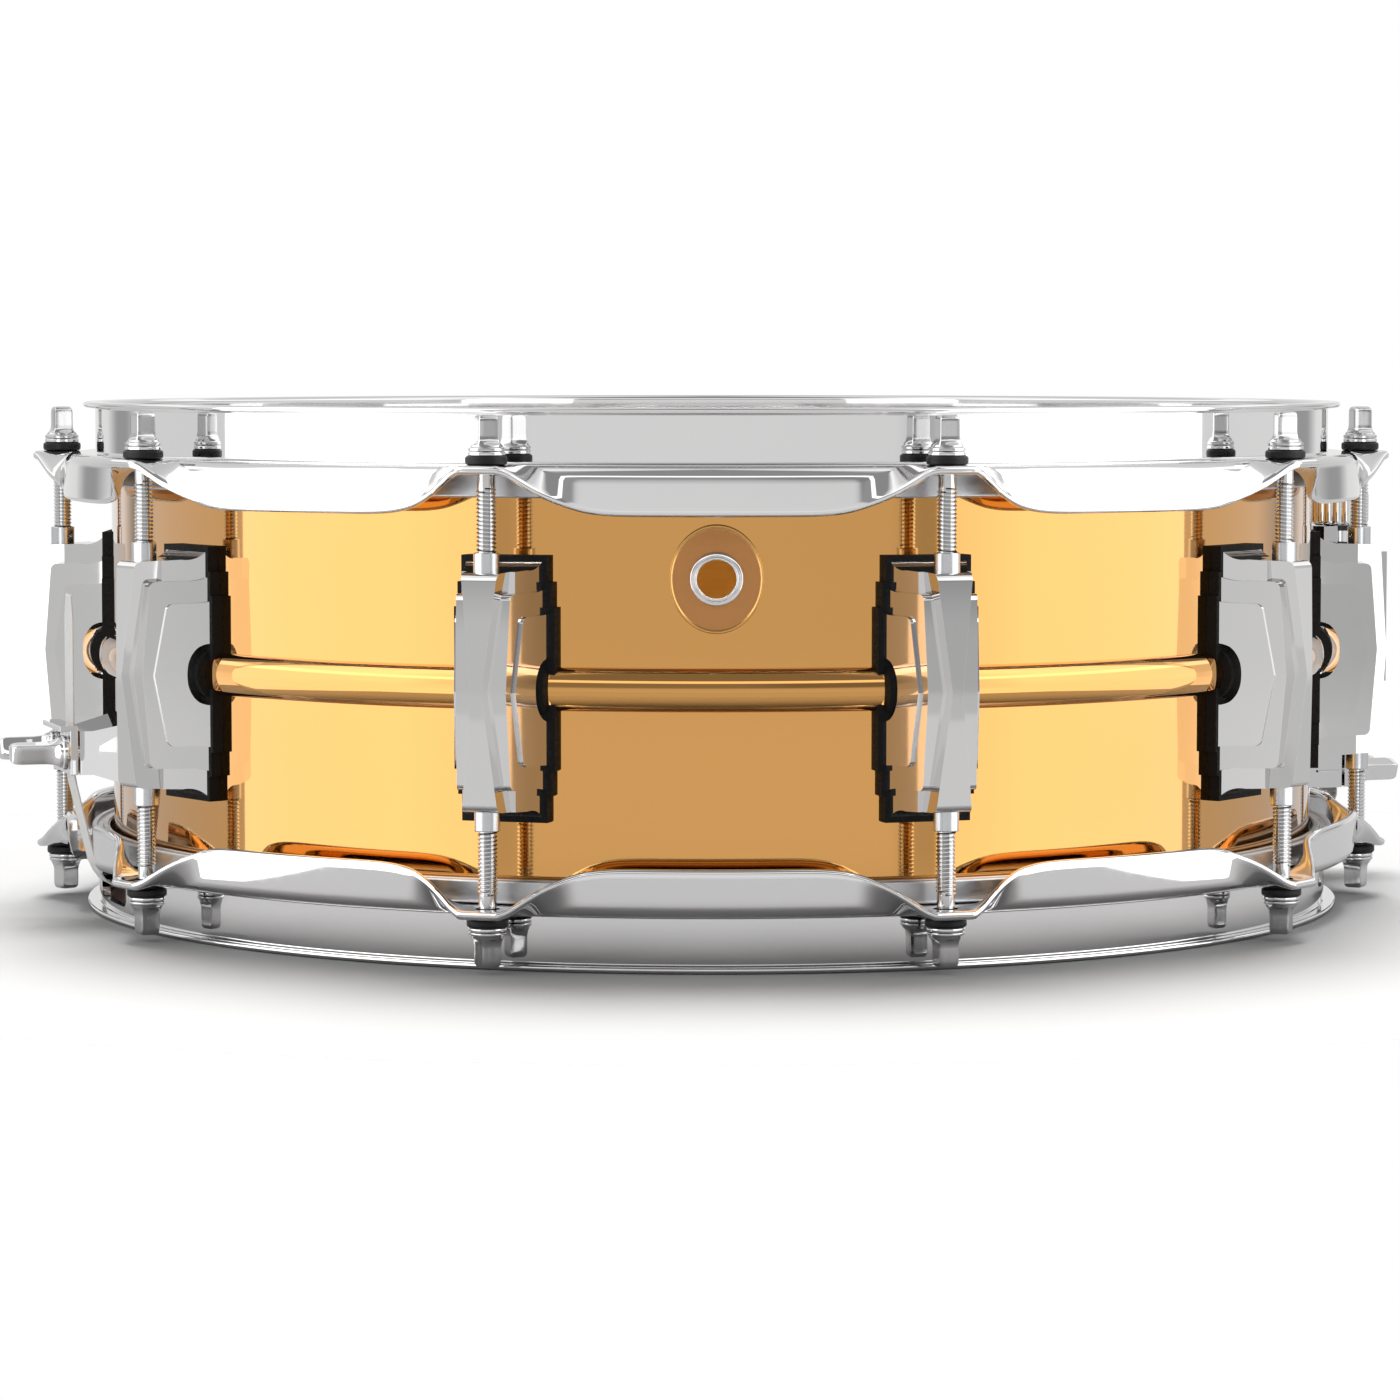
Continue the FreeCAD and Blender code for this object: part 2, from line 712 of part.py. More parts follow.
def strainer_body():
    """The throw-off's casting: base plate, two cheeks for the lever pins and a guide channel."""
    plate = block("throw_plate", 170, -21, 44, 13.2, 42, 52)
    cheek_left = block("throw_cheek_left", 182, -18.4, 50, 24, 3.2, 28)
    cheek_right = block("throw_cheek_right", 182, 15.2, 50, 24, 3.2, 28)
    rail_left = block("throw_rail_left", 182, -9.6, 56, 11.6, 3.0, 38)
    rail_right = block("throw_rail_right", 182, 6.6, 56, 11.6, 3.0, 38)
    solid = fused("throw_solid", [plate, cheek_left, cheek_right, rail_left, rail_right])
    seat = cylinder("throw_seat", "ShellRadius+0.02", 120)
    notch = cylinder("throw_notch", "ShellRadius+BeadReach+0.4", "BeadHeight+1.6")
    place(notch, 0, 0, "ShellBottom+ShellDepth/2-BeadHeight/2-0.8")
    pin = cylinder(
        "throw_pin_bore", 2.5, 60, "LeverPivotOut", 30, "LeverPivotRise", Vector(0, -1, 0)
    )
    screws = []
    for index, (degrees, across, heights) in enumerate(BRACKET_HOLES[:3]):
        name = f"throw_screw_hole_{index}"
        screws.append(cylinder(name, 2.02, 8, 174, across, heights[0], Vector(1, 0, 0)))
    body = cut("throw_casting", solid, [seat, notch, pin] + screws)
    DOC.recompute()
    return node(body, "strainer_body", bearing(dim("GateBearing")))


def strainer_lever():
    """The lever: two hub arms, a handle across the front and two cam pegs into the slide."""
    out, rise = "LeverPivotOut", "LeverPivotRise"
    y_axis = Vector(0, 1, 0)
    pieces = []
    start = math.radians(42.5)
    tools = []
    for side, low, peg in (("left", -14.9, -12.0), ("right", 11.7, 9.0)):
        hub = cylinder(f"lever_hub_{side}", 6.5, 3.2, out, low, rise, y_axis)
        arm = block(f"lever_arm_{side}", out, low, f"{rise}-4", "LeverFace+3.2-LeverPivotOut", 3.2, 10)
        cam = cylinder(
            f"lever_cam_{side}",
            1.5,
            3.2,
            f"{out}+CamThrow*{math.cos(start):.6f}",
            peg - 0.1,
            f"{rise}+CamThrow*{math.sin(start):.6f}",
            y_axis,
        )
        wing = block(f"lever_wing_{side}", "LeverFace", low, f"{rise}-4", 3.2, 3.2, 36)
        pieces += [hub, arm, cam, wing]
        tools.append(cylinder(f"lever_bore_{side}", 2.55, 5, out, low - 1, rise, y_axis))
    pieces.append(block("lever_handle", "LeverFace", -14.9, f"{rise}+12", 3.2, 29.8, 24))
    lever = cut("lever_cut", fused("lever_solid", pieces), tools)
    DOC.recompute()
    node(lever, "strainer_lever", bearing(dim("GateBearing")))
    pins = []
    for low in (-18.6, 11.4):
        start_at = Vector(dim("LeverPivotOut"), low, dim("LeverPivotRise"))
        pins.append(Part.makeCylinder(2.49, 7.2, start_at, Vector(0, 1, 0)))
    feature(group(pins), "lever_pins", bearing(dim("GateBearing")))


def strainer_slide():
    """The slide: a block on the guide rails with a shelf for the tension knob."""
    main = block("slide_main", 195, -8.8, 56, 14.6, 17.6, 44)
    tongue = block("slide_tongue", 186, -6.2, 58, 10, 12.4, 38)
    post = block("slide_post", 196.5, -8.8, 99, 4.6, 17.6, 8.7)
    ears = block("slide_ears", 196.5, -8.8, 56, 10, 17.6, 4)
    solid = fused("slide_solid", [main, tongue, post, ears])
    stud = cylinder("slide_stud_bore", "StudRadius+0.06", 120, "KnobAxis", 0, 20)
    pivot = block("slide_cam_slot_left", 198.5, -9.5, 64.6, 8, 3.0, 4.2)
    pivot_right = block("slide_cam_slot_right", 198.5, 6.5, 64.6, 8, 3.0, 4.2)
    guides = [
        cylinder("slide_guide_left", 1.6, 20, 199, -5.5, 50),
        cylinder("slide_guide_right", 1.6, 20, 199, 5.5, 50),
    ]
    slide = cut("slide_cut", solid, [stud, pivot, pivot_right] + guides)
    DOC.recompute()
    node(slide, "strainer_slide", bearing(dim("GateBearing")))


def tension_knob():
    """The fine-tension knob, fluted, on its long adjusting stud."""
    top, bottom, radius = dim("KnobTop"), dim("KnobBottom"), dim("KnobRadius")
    axis = dim("KnobAxis")
    blank = Part.makeCylinder(radius, top - bottom, Vector(0, 0, bottom))
    blank = blank.makeFillet(1.4, [edge for edge in blank.Edges if len(edge.Vertexes) == 1])
    count = 18
    flutes = []
    for index in range(count):
        turn = 2 * math.pi * index / count
        place_at = Vector(1.04 * radius * math.cos(turn), 1.04 * radius * math.sin(turn), bottom)
        flutes.append(Part.makeCylinder(0.9, 20, place_at - Vector(0, 0, 2)))
    blank = blank.cut(flutes)
    collar = Part.makeCylinder(4.4, 1.6, Vector(0, 0, 106.1))
    neck = Part.makeCylinder(2.8, 7.7, Vector(0, 0, 100.15))
    stud = Part.makeCylinder(dim("StudRadius"), 62, Vector(0, 0, 40.5))
    knob = blank.fuse([collar, neck, stud]).removeSplitter()
    knob.translate(Vector(axis, 0, 0))
    feature(knob, "tension_knob", bearing(dim("GateBearing")))


def clamp_carriage():
    """The carriage on the stud, its clamp plate and the two clamp screws."""
    plane = "ThrowPlane-StrapThick/2-0.05"
    upper = block("carriage_upper", 191, -8.8, 39.5, 18.6, 17.6, 11.5)
    jaw = block("carriage_jaw", 191, -10, 26.8, f"{plane}-191", 20, 13.2)
    posts = [
        cylinder("carriage_post_left", 1.54, 14, 199, -5.5, 50),
        cylinder("carriage_post_right", 1.54, 14, 199, 5.5, 50),
    ]
    solid = fused("carriage_solid", [upper, jaw] + posts)
    bore = cylinder("carriage_bore", "StudRadius+0.05", 30, "KnobAxis", 0, 30)
    threads = [
        cylinder("carriage_thread_left", 2.02, 12, 194, -8, 32, Vector(1, 0, 0)),
        cylinder("carriage_thread_right", 2.02, 12, 194, 8, 32, Vector(1, 0, 0)),
    ]
    carriage = cut("carriage_cut", solid, [bore] + threads)
    DOC.recompute()
    node(carriage, "clamp_carriage", bearing(dim("GateBearing")))
    face = "ThrowPlane+StrapThick/2+0.05"
    plate = block("throw_clamp_block", face, -11, 27, 2.6, 22, 10)
    holes = [
        cylinder("throw_clamp_hole_left", 2.1, 12, 198, -8, 32, Vector(1, 0, 0)),
        cylinder("throw_clamp_hole_right", 2.1, 12, 198, 8, 32, Vector(1, 0, 0)),
    ]
    clamp = cut("throw_clamp_cut", plate, holes)
    DOC.recompute()
    node(clamp, "strainer_clamp_plate", bearing(dim("GateBearing")))
    seat = dim("ThrowPlane") + dim("StrapThick") / 2 + 2.67
    screws = [
        clamp_screw("throw_clamp_screw_left", seat, -8, 32, 222, 11.2),
        clamp_screw("throw_clamp_screw_right", seat, 8, 32, 222, 11.2),
    ]
    DOC.recompute()
    feature(
        group([screw.Shape for screw in screws]),
        "strainer_clamp_screws",
        bearing(dim("GateBearing")),
    )


def bracket_screws():
    """The screws that hold the strainer and the butt plate, put in from inside the shell."""
    inside = dim("ShellRadius") - dim("ShellWall") - 0.4
    screws = []
    for degrees, across, heights in BRACKET_HOLES:
        for rise in heights:
            at = inside - across * across / (2 * dim("ShellRadius"))
            out = Vector(1, 0, 0)
            head = Part.makeCylinder(3.8, 2.8, Vector(at - 2.8, across, rise), out)
            shank = Part.makeCylinder(2.0, 6.4, Vector(at - 0.5, across, rise), out)
            screws.append(turned(head.fuse(shank), degrees))
    feature(group(screws), "bracket_screws")


# ---- butt plate ------------------------------------------------------------------------------


def butt_plate():
    """The fixed end for the wires: a casting, a clamp plate and two key-headed screws."""
    degrees = dim("GateBearing") - 180
    plane = dim("ButtPlane") - dim("StrapThick") / 2 - 0.05
    foot = [(21.0, 36.0, 59.0, 170.0), (13.4, 42.0, 54.4, 189.0)]
    sections = []
    for half, low, high, reach in foot:
        corners = [
            Vector(reach, -half, low),
            Vector(reach, half, low),
            Vector(reach, half, high),
            Vector(reach, -half, high),
        ]
        sections.append(Part.makePolygon(corners + corners[:1]))
    flare = Part.makeLoft(sections, True, True)
    jaw = Part.makeBox(plane - 187, 26.8, 12.4, Vector(187, -13.4, 42.0))
    tools = [Part.makeCylinder(dim("ShellRadius") + 0.02, 120)]
    out = Vector(1, 0, 0)
    for across in (-9.3, 9.3):
        tools.append(Part.makeCylinder(2.02, 12, Vector(plane - 8, across, 48.2), out))
    for _, across, heights in BRACKET_HOLES[3:]:
        tools.append(Part.makeCylinder(2.02, 8.3, Vector(173, across, heights[0]), out))
    feature(flare.fuse(jaw).cut(tools).removeSplitter(), "butt_body", bearing(degrees))
    face = dim("ButtPlane") + dim("StrapThick") / 2 + 0.05
    plate = Part.makeBox(2.2, 26.8, 12.4, Vector(face, -13.4, 42.0))
    rim = Part.makeBox(5.2, 26.8, 1.6, Vector(face, -13.4, 54.4))
    holes = []
    for across in (-9.3, 9.3):
        holes.append(Part.makeCylinder(2.1, 12, Vector(face - 5, across, 48.2), out))
    feature(plate.fuse(rim).cut(holes).removeSplitter(), "butt_clamp_plate", bearing(degrees))
    seat = face + 2.22
    screws = [
        clamp_screw("butt_screw_left", seat, -9.3, 48.2, 212, 9.0),
        clamp_screw("butt_screw_right", seat, 9.3, 48.2, 212, 9.0),
    ]
    DOC.recompute()
    feature(group([screw.Shape for screw in screws]), "butt_clamp_screws", bearing(degrees))


# ---- snare wires -----------------------------------------------------------------------------


def strap(points):
    """A flat strap whose mid-line runs through points (outwards, up), with mitred bends."""
    thick, width = dim("StrapThick"), dim("StrapWidth")
    places = [Vector(out, -width / 2, up) for out, up in points]
    runs = [(end - start).normalize() for start, end in zip(places, places[1:])]
    sides = []
    for index, place_at in enumerate(places):
        before = runs[max(index - 1, 0)]
        after = runs[min(index, len(runs) - 1)]
        normal = Vector(-(before + after).z, 0, (before + after).x).normalize()
        reach = thick / 2 / math.cos(before.getAngle(after) / 2)
        sides.append((place_at + normal * reach, place_at - normal * reach))
    edge = [left for left, _ in sides] + [right for _, right in reversed(sides)]
    return Part.Face(Part.makePolygon(edge + edge[:1])).extrude(Vector(0, width, 0))


def snare_wires():
    """Twenty coiled wires, two end plates, and the straps up to the clamps."""
    half = dim("WireLength") / 2
    rise = 8.0
    wires = []
    for index in range(int(dim("WireCount"))):
        across = (index - (dim("WireCount") - 1) / 2) * dim("WirePitch")
        start = Vector(-half, across, rise)
        wires.append(
            Part.makeCylinder(dim("WireRadius"), 2 * half, start, Vector(1, 0, 0))
        )
    feature(group(wires), "snare_wires", bearing(dim("GateBearing")))
    width = dim("WireCount") * dim("WirePitch") + 3
    plates = []
    for start in (half - 5, -half - 9):
        low = rise - dim("WireRadius") - 0.82
        plates.append(Part.makeBox(14, width, 0.8, Vector(start, -width / 2, low)))
    feature(group(plates), "snare_end_plates", bearing(dim("GateBearing")))
    lower = [(183.0, 9.6), (179.5, 8.6), (172.0, 8.0), (half + 2, 7.32)]
    butt = [(dim("ButtPlane"), 92.6), (dim("ButtPlane"), 41.0), (187.0, 16.0)] + lower
    throw = [(dim("ThrowPlane"), 38.0), (dim("ThrowPlane"), 26.0), (188.0, 14.5)] + lower
    feature(strap(butt), "butt_strap", bearing(dim("GateBearing") - 180))
    feature(strap(throw), "strainer_strap", bearing(dim("GateBearing")))


def build():
    """Makes every sub-part, checks it and writes its STEP file."""
    shell()
    heads()
    hoops()
    lugs()
    lug_fixings()
    tension_rods()
    badge_and_vent()
    strainer_body()
    strainer_lever()
    strainer_slide()
    tension_knob()
    clamp_carriage()
    bracket_screws()
    butt_plate()
    snare_wires()
    DOC.recompute()
    for obj in DOC.Objects:
        if "Invalid" in obj.State or "Error" in obj.State:
            raise RuntimeError(f"{obj.Name} did not compute: {obj.State}")
    os.makedirs("parts", exist_ok=True)
    for obj in NODES:
        if obj.Shape.isNull() or not obj.Shape.isValid() or not obj.Shape.Solids:
            raise RuntimeError(f"{obj.Label} has no valid shape")
        obj.Shape.exportStep(f"parts/{obj.Label}.step")
        print(f"{obj.Label}: {len(obj.Shape.Solids)} solid(s), {obj.Shape.Volume:.0f} mm3")
    print(f"{len(NODES)} nodes")


build()
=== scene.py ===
"""Looks of a ten-lug brass snare drum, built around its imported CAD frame.

Lengths are in metres unless a name says otherwise. A bearing is an angle from the drum's front
(-Y) towards +X, as seen from above. The drum's axis is Z and its lower hoop stands on z = 0.
"""

import logging
import math
from dataclasses import dataclass
from enum import Enum
from typing import Iterable, Sequence

import bmesh
import bpy
from mathutils import Matrix, Vector


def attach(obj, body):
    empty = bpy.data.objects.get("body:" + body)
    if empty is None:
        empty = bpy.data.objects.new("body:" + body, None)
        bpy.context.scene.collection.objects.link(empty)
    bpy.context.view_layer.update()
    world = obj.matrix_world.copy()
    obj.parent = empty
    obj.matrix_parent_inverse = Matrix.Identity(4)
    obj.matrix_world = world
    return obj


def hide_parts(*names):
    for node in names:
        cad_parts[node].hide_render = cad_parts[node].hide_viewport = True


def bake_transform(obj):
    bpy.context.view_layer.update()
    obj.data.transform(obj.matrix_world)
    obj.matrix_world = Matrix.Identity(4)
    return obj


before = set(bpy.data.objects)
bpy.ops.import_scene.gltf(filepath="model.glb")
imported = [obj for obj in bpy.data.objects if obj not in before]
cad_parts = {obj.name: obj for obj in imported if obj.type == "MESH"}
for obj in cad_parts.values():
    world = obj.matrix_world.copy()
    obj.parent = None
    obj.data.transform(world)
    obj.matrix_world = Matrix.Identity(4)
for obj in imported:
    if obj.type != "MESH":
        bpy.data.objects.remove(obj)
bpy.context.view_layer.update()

LOG = logging.getLogger("snare_drum")
MM = 0.001
Point = tuple[float, float]
Node = bpy.types.Node
Socket = bpy.types.NodeSocket


# ---- places ----------------------------------------------------------------------------------


@dataclass(frozen=True)
class DrumSizes:
    """The drum's own sizes, in millimetres, as the frame has them."""

    height: float = 147.0
    shell_radius: float = 177.0
    shell_wall: float = 1.2
    shell_low: float = 10.0
    shell_high: float = 137.0
    bead_reach: float = 4.2
    bead_half: float = 5.8
    rod_circle: float = 192.8
    lug_count: int = 10
    first_lug: float = 18.0
    gate_bearing: float = 108.0
    vent_rise: float = 102.5

    @property
    def middle(self) -> float:
        """Height of the shell's bead."""
        return (self.shell_low + self.shell_high) / 2

    def lug_bearings(self) -> list[float]:
        """Bearings of the lugs and rods, in degrees."""
        step = 360.0 / self.lug_count
        return [self.first_lug + step * index for index in range(self.lug_count)]


SIZES = DrumSizes()


def turn_to(bearing: float) -> Matrix:
    """Turns a shape drawn with +X outwards to a bearing.

    Args:
        bearing: Degrees from the front towards +X.

    Returns:
        The rotation about the drum's axis.
    """
    return Matrix.Rotation(math.radians(bearing - 90.0), 4, "Z")


def flip() -> Matrix:
    """The reflection that carries the snare side to the batter side."""
    return Matrix.Translation((0, 0, SIZES.height * MM)) @ Matrix.Diagonal((1, 1, -1, 1))


# ---- meshes ----------------------------------------------------------------------------------


def rounded(points: Sequence[tuple[float, float, float]], steps: int = 5) -> list[Point]:
    """Rounds the corners of a closed outline with arcs.

    Args:
        points: Corners as (across, up, radius).
        steps: Segments in each arc.

    Returns:
        The outline's points.
    """
    result: list[Point] = []
    count = len(points)
    for index, (across, up, radius) in enumerate(points):
        corner = Vector((across, up))
        before = Vector(points[index - 1][:2]) - corner
        after = Vector(points[(index + 1) % count][:2]) - corner
        if radius <= 0 or before.length < 1e-9 or after.length < 1e-9:
            result.append((across, up))
            continue
        half = before.angle(after) / 2
        reach = min(radius / math.tan(half), 0.48 * before.length, 0.48 * after.length)
        radius = reach * math.tan(half)
        start = corner + before.normalized() * reach
        end = corner + after.normalized() * reach
        centre = corner + (before.normalized() + after.normalized()).normalized() * (
            radius / math.sin(half)
        )
        arm_start, arm_end = start - centre, end - centre
        sweep = arm_start.angle_signed(arm_end)
        for step in range(steps + 1):
            turn = Matrix.Rotation(-sweep * step / steps, 2)
            result.append(tuple(centre + turn @ arm_start))
    return result


def mesh_from(name: str, points: Iterable[Sequence[float]], faces: Iterable[Sequence[int]]) -> bpy.types.Mesh:
    """Makes a mesh from points in millimetres, with clean outward normals.

    Args:
        name: The mesh's name.
        points: Vertex places in millimetres.
        faces: Vertex indices of each face.

    Returns:
        The mesh, in metres.
    """
    mesh = bpy.data.meshes.new(name)
    mesh.from_pydata([tuple(value * MM for value in point) for point in points], [], list(faces))
    work = bmesh.new()
    work.from_mesh(mesh)
    bmesh.ops.remove_doubles(work, verts=work.verts, dist=1e-7)
    loose = [edge for edge in work.edges if not edge.link_faces]
    bmesh.ops.delete(work, geom=loose, context="EDGES")
    bmesh.ops.recalc_face_normals(work, faces=work.faces)
    work.to_mesh(mesh)
    work.free()
    return mesh


def ring_mesh(name: str, rings: Sequence[Sequence[Sequence[float]]], closed: bool) -> bpy.types.Mesh:
    """Skins a row of equal closed rings.

    Args:
        name: The mesh's name.
        rings: Rings of points in millimetres, each with the same number of points.
        closed: True joins the last ring to the first; False caps both ends.

    Returns:
        The closed mesh.
    """
    size = len(rings[0])
    points = [point for ring in rings for point in ring]
    faces: list[tuple[int, ...]] = []
    last = len(rings) if closed else len(rings) - 1
    for row in range(last):
        low, high = row * size, (row + 1) % len(rings) * size
        for step in range(size):
            after = (step + 1) % size
            faces.append((low + step, low + after, high + after, high + step))
    if not closed:
        faces.append(tuple(range(size - 1, -1, -1)))
        faces.append(tuple(range((len(rings) - 1) * size, len(rings) * size)))
    return mesh_from(name, points, faces)


def lathe(name: str, outline: Sequence[Point], segments: int = 96) -> bpy.types.Mesh:
    """Turns a closed outline of (radius, height) about Z.

    Args:
        name: The mesh's name.
        outline: The closed outline in millimetres.
        segments: Steps round the axis.

    Returns:
        The solid of revolution.
    """
    rings = []
    for step in range(segments):
        turn = 2 * math.pi * step / segments
        rings.append([(r * math.cos(turn), r * math.sin(turn), z) for r, z in outline])
    return ring_mesh(name, rings, True)


def joined(name: str, parts: Sequence[tuple[bpy.types.Mesh, Matrix]]) -> bpy.types.Mesh:
    """One mesh out of several, each carried to its place.

    Args:
        name: The new mesh's name.
        parts: Meshes with their transforms; a mirroring one keeps its faces outward.

    Returns:
        The joined mesh.
    """
    work = bmesh.new()
    for mesh, place in parts:
        copy = mesh.copy()
        copy.transform(place)
        if place.determinant() < 0:
            copy.flip_normals()
        work.from_mesh(copy)
        bpy.data.meshes.remove(copy)
    result = bpy.data.meshes.new(name)
    work.to_mesh(result)
    work.free()
    return result


def new_object(name: str, mesh: bpy.types.Mesh) -> bpy.types.Object:
    """Links a mesh into the scene at the origin.

    Args:
        name: The new piece's name.
        mesh: Its mesh.

    Returns:
        The new object.
    """
    obj = bpy.data.objects.new(name, mesh)
    bpy.context.scene.collection.objects.link(obj)
    return obj


def apply_modifiers(obj: bpy.types.Object) -> None:
    """Turns the evaluated object into its plain mesh and clears its modifiers.

    Args:
        obj: The piece.
    """
    bpy.context.view_layer.update()
    graph = bpy.context.evaluated_depsgraph_get()
    mesh = bpy.data.meshes.new_from_object(obj.evaluated_get(graph))
    obj.modifiers.clear()
    old, obj.data = obj.data, mesh
    mesh.name = obj.name
    if old.users == 0:
        bpy.data.meshes.remove(old)


def smooth_by_angle(obj: bpy.types.Object, degrees: float = 35.0) -> None:
    """Shades a piece smooth between its hard edges, weighted by face area.

    Args:
        obj: The piece.
        degrees: Edges sharper than this stay hard.
    """
    obj.data.shade_smooth()
    obj.data.set_sharp_from_angle(angle=math.radians(degrees))
    weighted = obj.modifiers.new("weighted", "WEIGHTED_NORMAL")
    weighted.keep_sharp = True
    apply_modifiers(obj)


def cad_copy(name: str, nodes: Sequence[str], width: float, angle: float = 25.0) -> bpy.types.Object:
    """A copy of CAD nodes with merged points and rounded edges.

    Args:
        name: The new piece's name.
        nodes: The CAD nodes to copy.
        width: Width of the rounded edges in millimetres; 0 keeps them sharp.
        angle: Edges sharper than this many degrees are rounded.

    Returns:
        The new object.
    """
    work = bmesh.new()
    for node in nodes:
        work.from_mesh(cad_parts[node].data)
    bmesh.ops.remove_doubles(work, verts=work.verts, dist=2e-6)
    bmesh.ops.dissolve_limit(
        work, angle_limit=math.radians(1.0), verts=work.verts, edges=work.edges
    )
    mesh = bpy.data.meshes.new(name)
    work.to_mesh(mesh)
    work.free()
    obj = new_object(name, mesh)
    if width > 0:
        bevel(obj, width, angle)
    return obj


def bevel(obj: bpy.types.Object, width: float, angle: float) -> None:
    """Rounds the edges of a piece.

    Args:
        obj: The piece.
        width: Width of the rounding in millimetres.
        angle: Edges sharper than this many degrees are rounded.
    """
    edge = obj.modifiers.new("edges", "BEVEL")
    edge.width = width * MM
    edge.segments = 3
    edge.limit_method = "ANGLE"
    edge.angle_limit = math.radians(angle)
    edge.use_clamp_overlap = True
    apply_modifiers(obj)


def cut_away(obj: bpy.types.Object, tool: bpy.types.Mesh) -> None:
    """Cuts a closed tool mesh out of a piece.

    Args:
        obj: The piece.
        tool: The closed mesh to take away.
    """
    cutter = new_object("cutter", tool)
    change = obj.modifiers.new("cut", "BOOLEAN")
    change.operation = "DIFFERENCE"
    change.solver = "MANIFOLD"
    change.object = cutter
    apply_modifiers(obj)
    bpy.data.objects.remove(cutter)


# ---- finishes --------------------------------------------------------------------------------


class Coordinate(Enum):
    """What a finish's pattern follows."""

    OBJECT = "Object"
    UV = "UV"


@dataclass(frozen=True)
class NodeDesk:
    """Short ways to add nodes to one material."""

    material: bpy.types.Material

    def add(self, kind: str, **inputs: object) -> Node:
        """Adds a node and sets its inputs by name.

        Args:
            kind: The node's type.
            **inputs: Values by input name, with _ for a space.

        Returns:
            The new node.
        """
        node = self.material.node_tree.nodes.new(kind)
        for key, value in inputs.items():
            node.inputs[key.replace("_", " ")].default_value = value
        return node

    def link(self, source: Socket, target: Socket) -> None:
        """Links two sockets."""
        self.material.node_tree.links.new(source, target)

    def pattern(self, scale: tuple[float, float, float], detail: float, size: float) -> Socket:
        """A noise pattern on Object coordinates.

        Args:
            scale: Stretch along each axis.
            detail: Octaves of the noise.
            size: The noise's own scale.

        Returns:
            The noise's value socket.
        """
        place = self.add("ShaderNodeTexCoord")
        mapping = self.add("ShaderNodeMapping", Scale=scale)
        noise = self.add("ShaderNodeTexNoise", Scale=size, Detail=detail)
        self.link(place.outputs[Coordinate.OBJECT.value], mapping.inputs["Vector"])
        self.link(mapping.outputs["Vector"], noise.inputs["Vector"])
        return noise.outputs["Fac"]

    def ranged(self, source: Socket, low: float, high: float) -> Socket:
        """Carries a 0.3-0.7 pattern to the range from low to high.

        Args:
            source: The pattern.
            low: The value at 0.3.
            high: The value at 0.7.

        Returns:
            The new range's socket.
        """
        node = self.add(
            "ShaderNodeMapRange", From_Min=0.3, From_Max=0.7, To_Min=low, To_Max=high
        )
        self.link(source, node.inputs["Value"])
        return node.outputs["Result"]

    def mixed(self, source: Socket, first: Sequence[float], second: Sequence[float]) -> Socket:
        """Mixes two colours by a pattern.

        Args:
            source: The pattern.
            first: The colour where the pattern is 0.
            second: The colour where the pattern is 1.

        Returns:
            The mixed colour's socket.
        """
        node = self.material.node_tree.nodes.new("ShaderNodeMix")
        node.data_type = "RGBA"
        colours = [socket for socket in node.inputs if socket.type == "RGBA"]
        colours[0].default_value = (*first, 1.0)
        colours[1].default_value = (*second, 1.0)
        factor = next(socket for socket in node.inputs if socket.type == "VALUE")
        self.link(source, factor)
        return next(socket for socket in node.outputs if socket.type == "RGBA")

    def bump(self, source: Socket, height_mm: float, strength: float) -> Socket:
        """A bump normal from a pattern.

        Args:
            source: The pattern.
            height_mm: Its height in millimetres.
            strength: How much of it shows, from 0 to 1.

        Returns:
            The normal's socket.
        """
        node = self.add("ShaderNodeBump", Strength=strength, Distance=height_mm * MM)
        self.link(source, node.inputs["Height"])
        return node.outputs["Normal"]


@dataclass(frozen=True)
class Finish:
    """A surface finish: its colours, its gloss and the fine grain that breaks it up."""

    name: str
    colour: tuple[float, float, float]
    second: tuple[float, float, float]
    metallic: float = 0.0
    rough_low: float = 0.3
    rough_high: float = 0.4
    grain_scale: tuple[float, float, float] = (1.0, 1.0, 1.0)
    grain_size: float = 400.0
    grain_mm: float = 0.0
    grain_strength: float = 0.2
    coat: float = 0.0
    transmission: float = 0.0
    specular: float = 0.5
    coat_ior: float = 1.5

    def build(self) -> bpy.types.Material:
        """Makes the material.

        Returns:
            The node material of this finish.
        """
        material = bpy.data.materials.new(self.name)
        material.use_nodes = True
        desk = NodeDesk(material)
        shader = material.node_tree.nodes["Principled BSDF"]
        shader.inputs["Metallic"].default_value = self.metallic
        shader.inputs["Coat Weight"].default_value = self.coat
        shader.inputs["Coat Roughness"].default_value = 0.03
        shader.inputs["Coat IOR"].default_value = self.coat_ior
        shader.inputs["Transmission Weight"].default_value = self.transmission
        shader.inputs["Specular IOR Level"].default_value = self.specular
        cloud = desk.pattern((1.0, 1.0, 1.0), 3.0, 18.0)
        grain = desk.pattern(self.grain_scale, 4.0, self.grain_size)
        desk.link(desk.mixed(cloud, self.colour, self.second), shader.inputs["Base Color"])
        desk.link(
            desk.ranged(grain, self.rough_low, self.rough_high), shader.inputs["Roughness"]
        )
        if self.grain_mm > 0:
            desk.link(
                desk.bump(grain, self.grain_mm, self.grain_strength), shader.inputs["Normal"]
            )
        return material


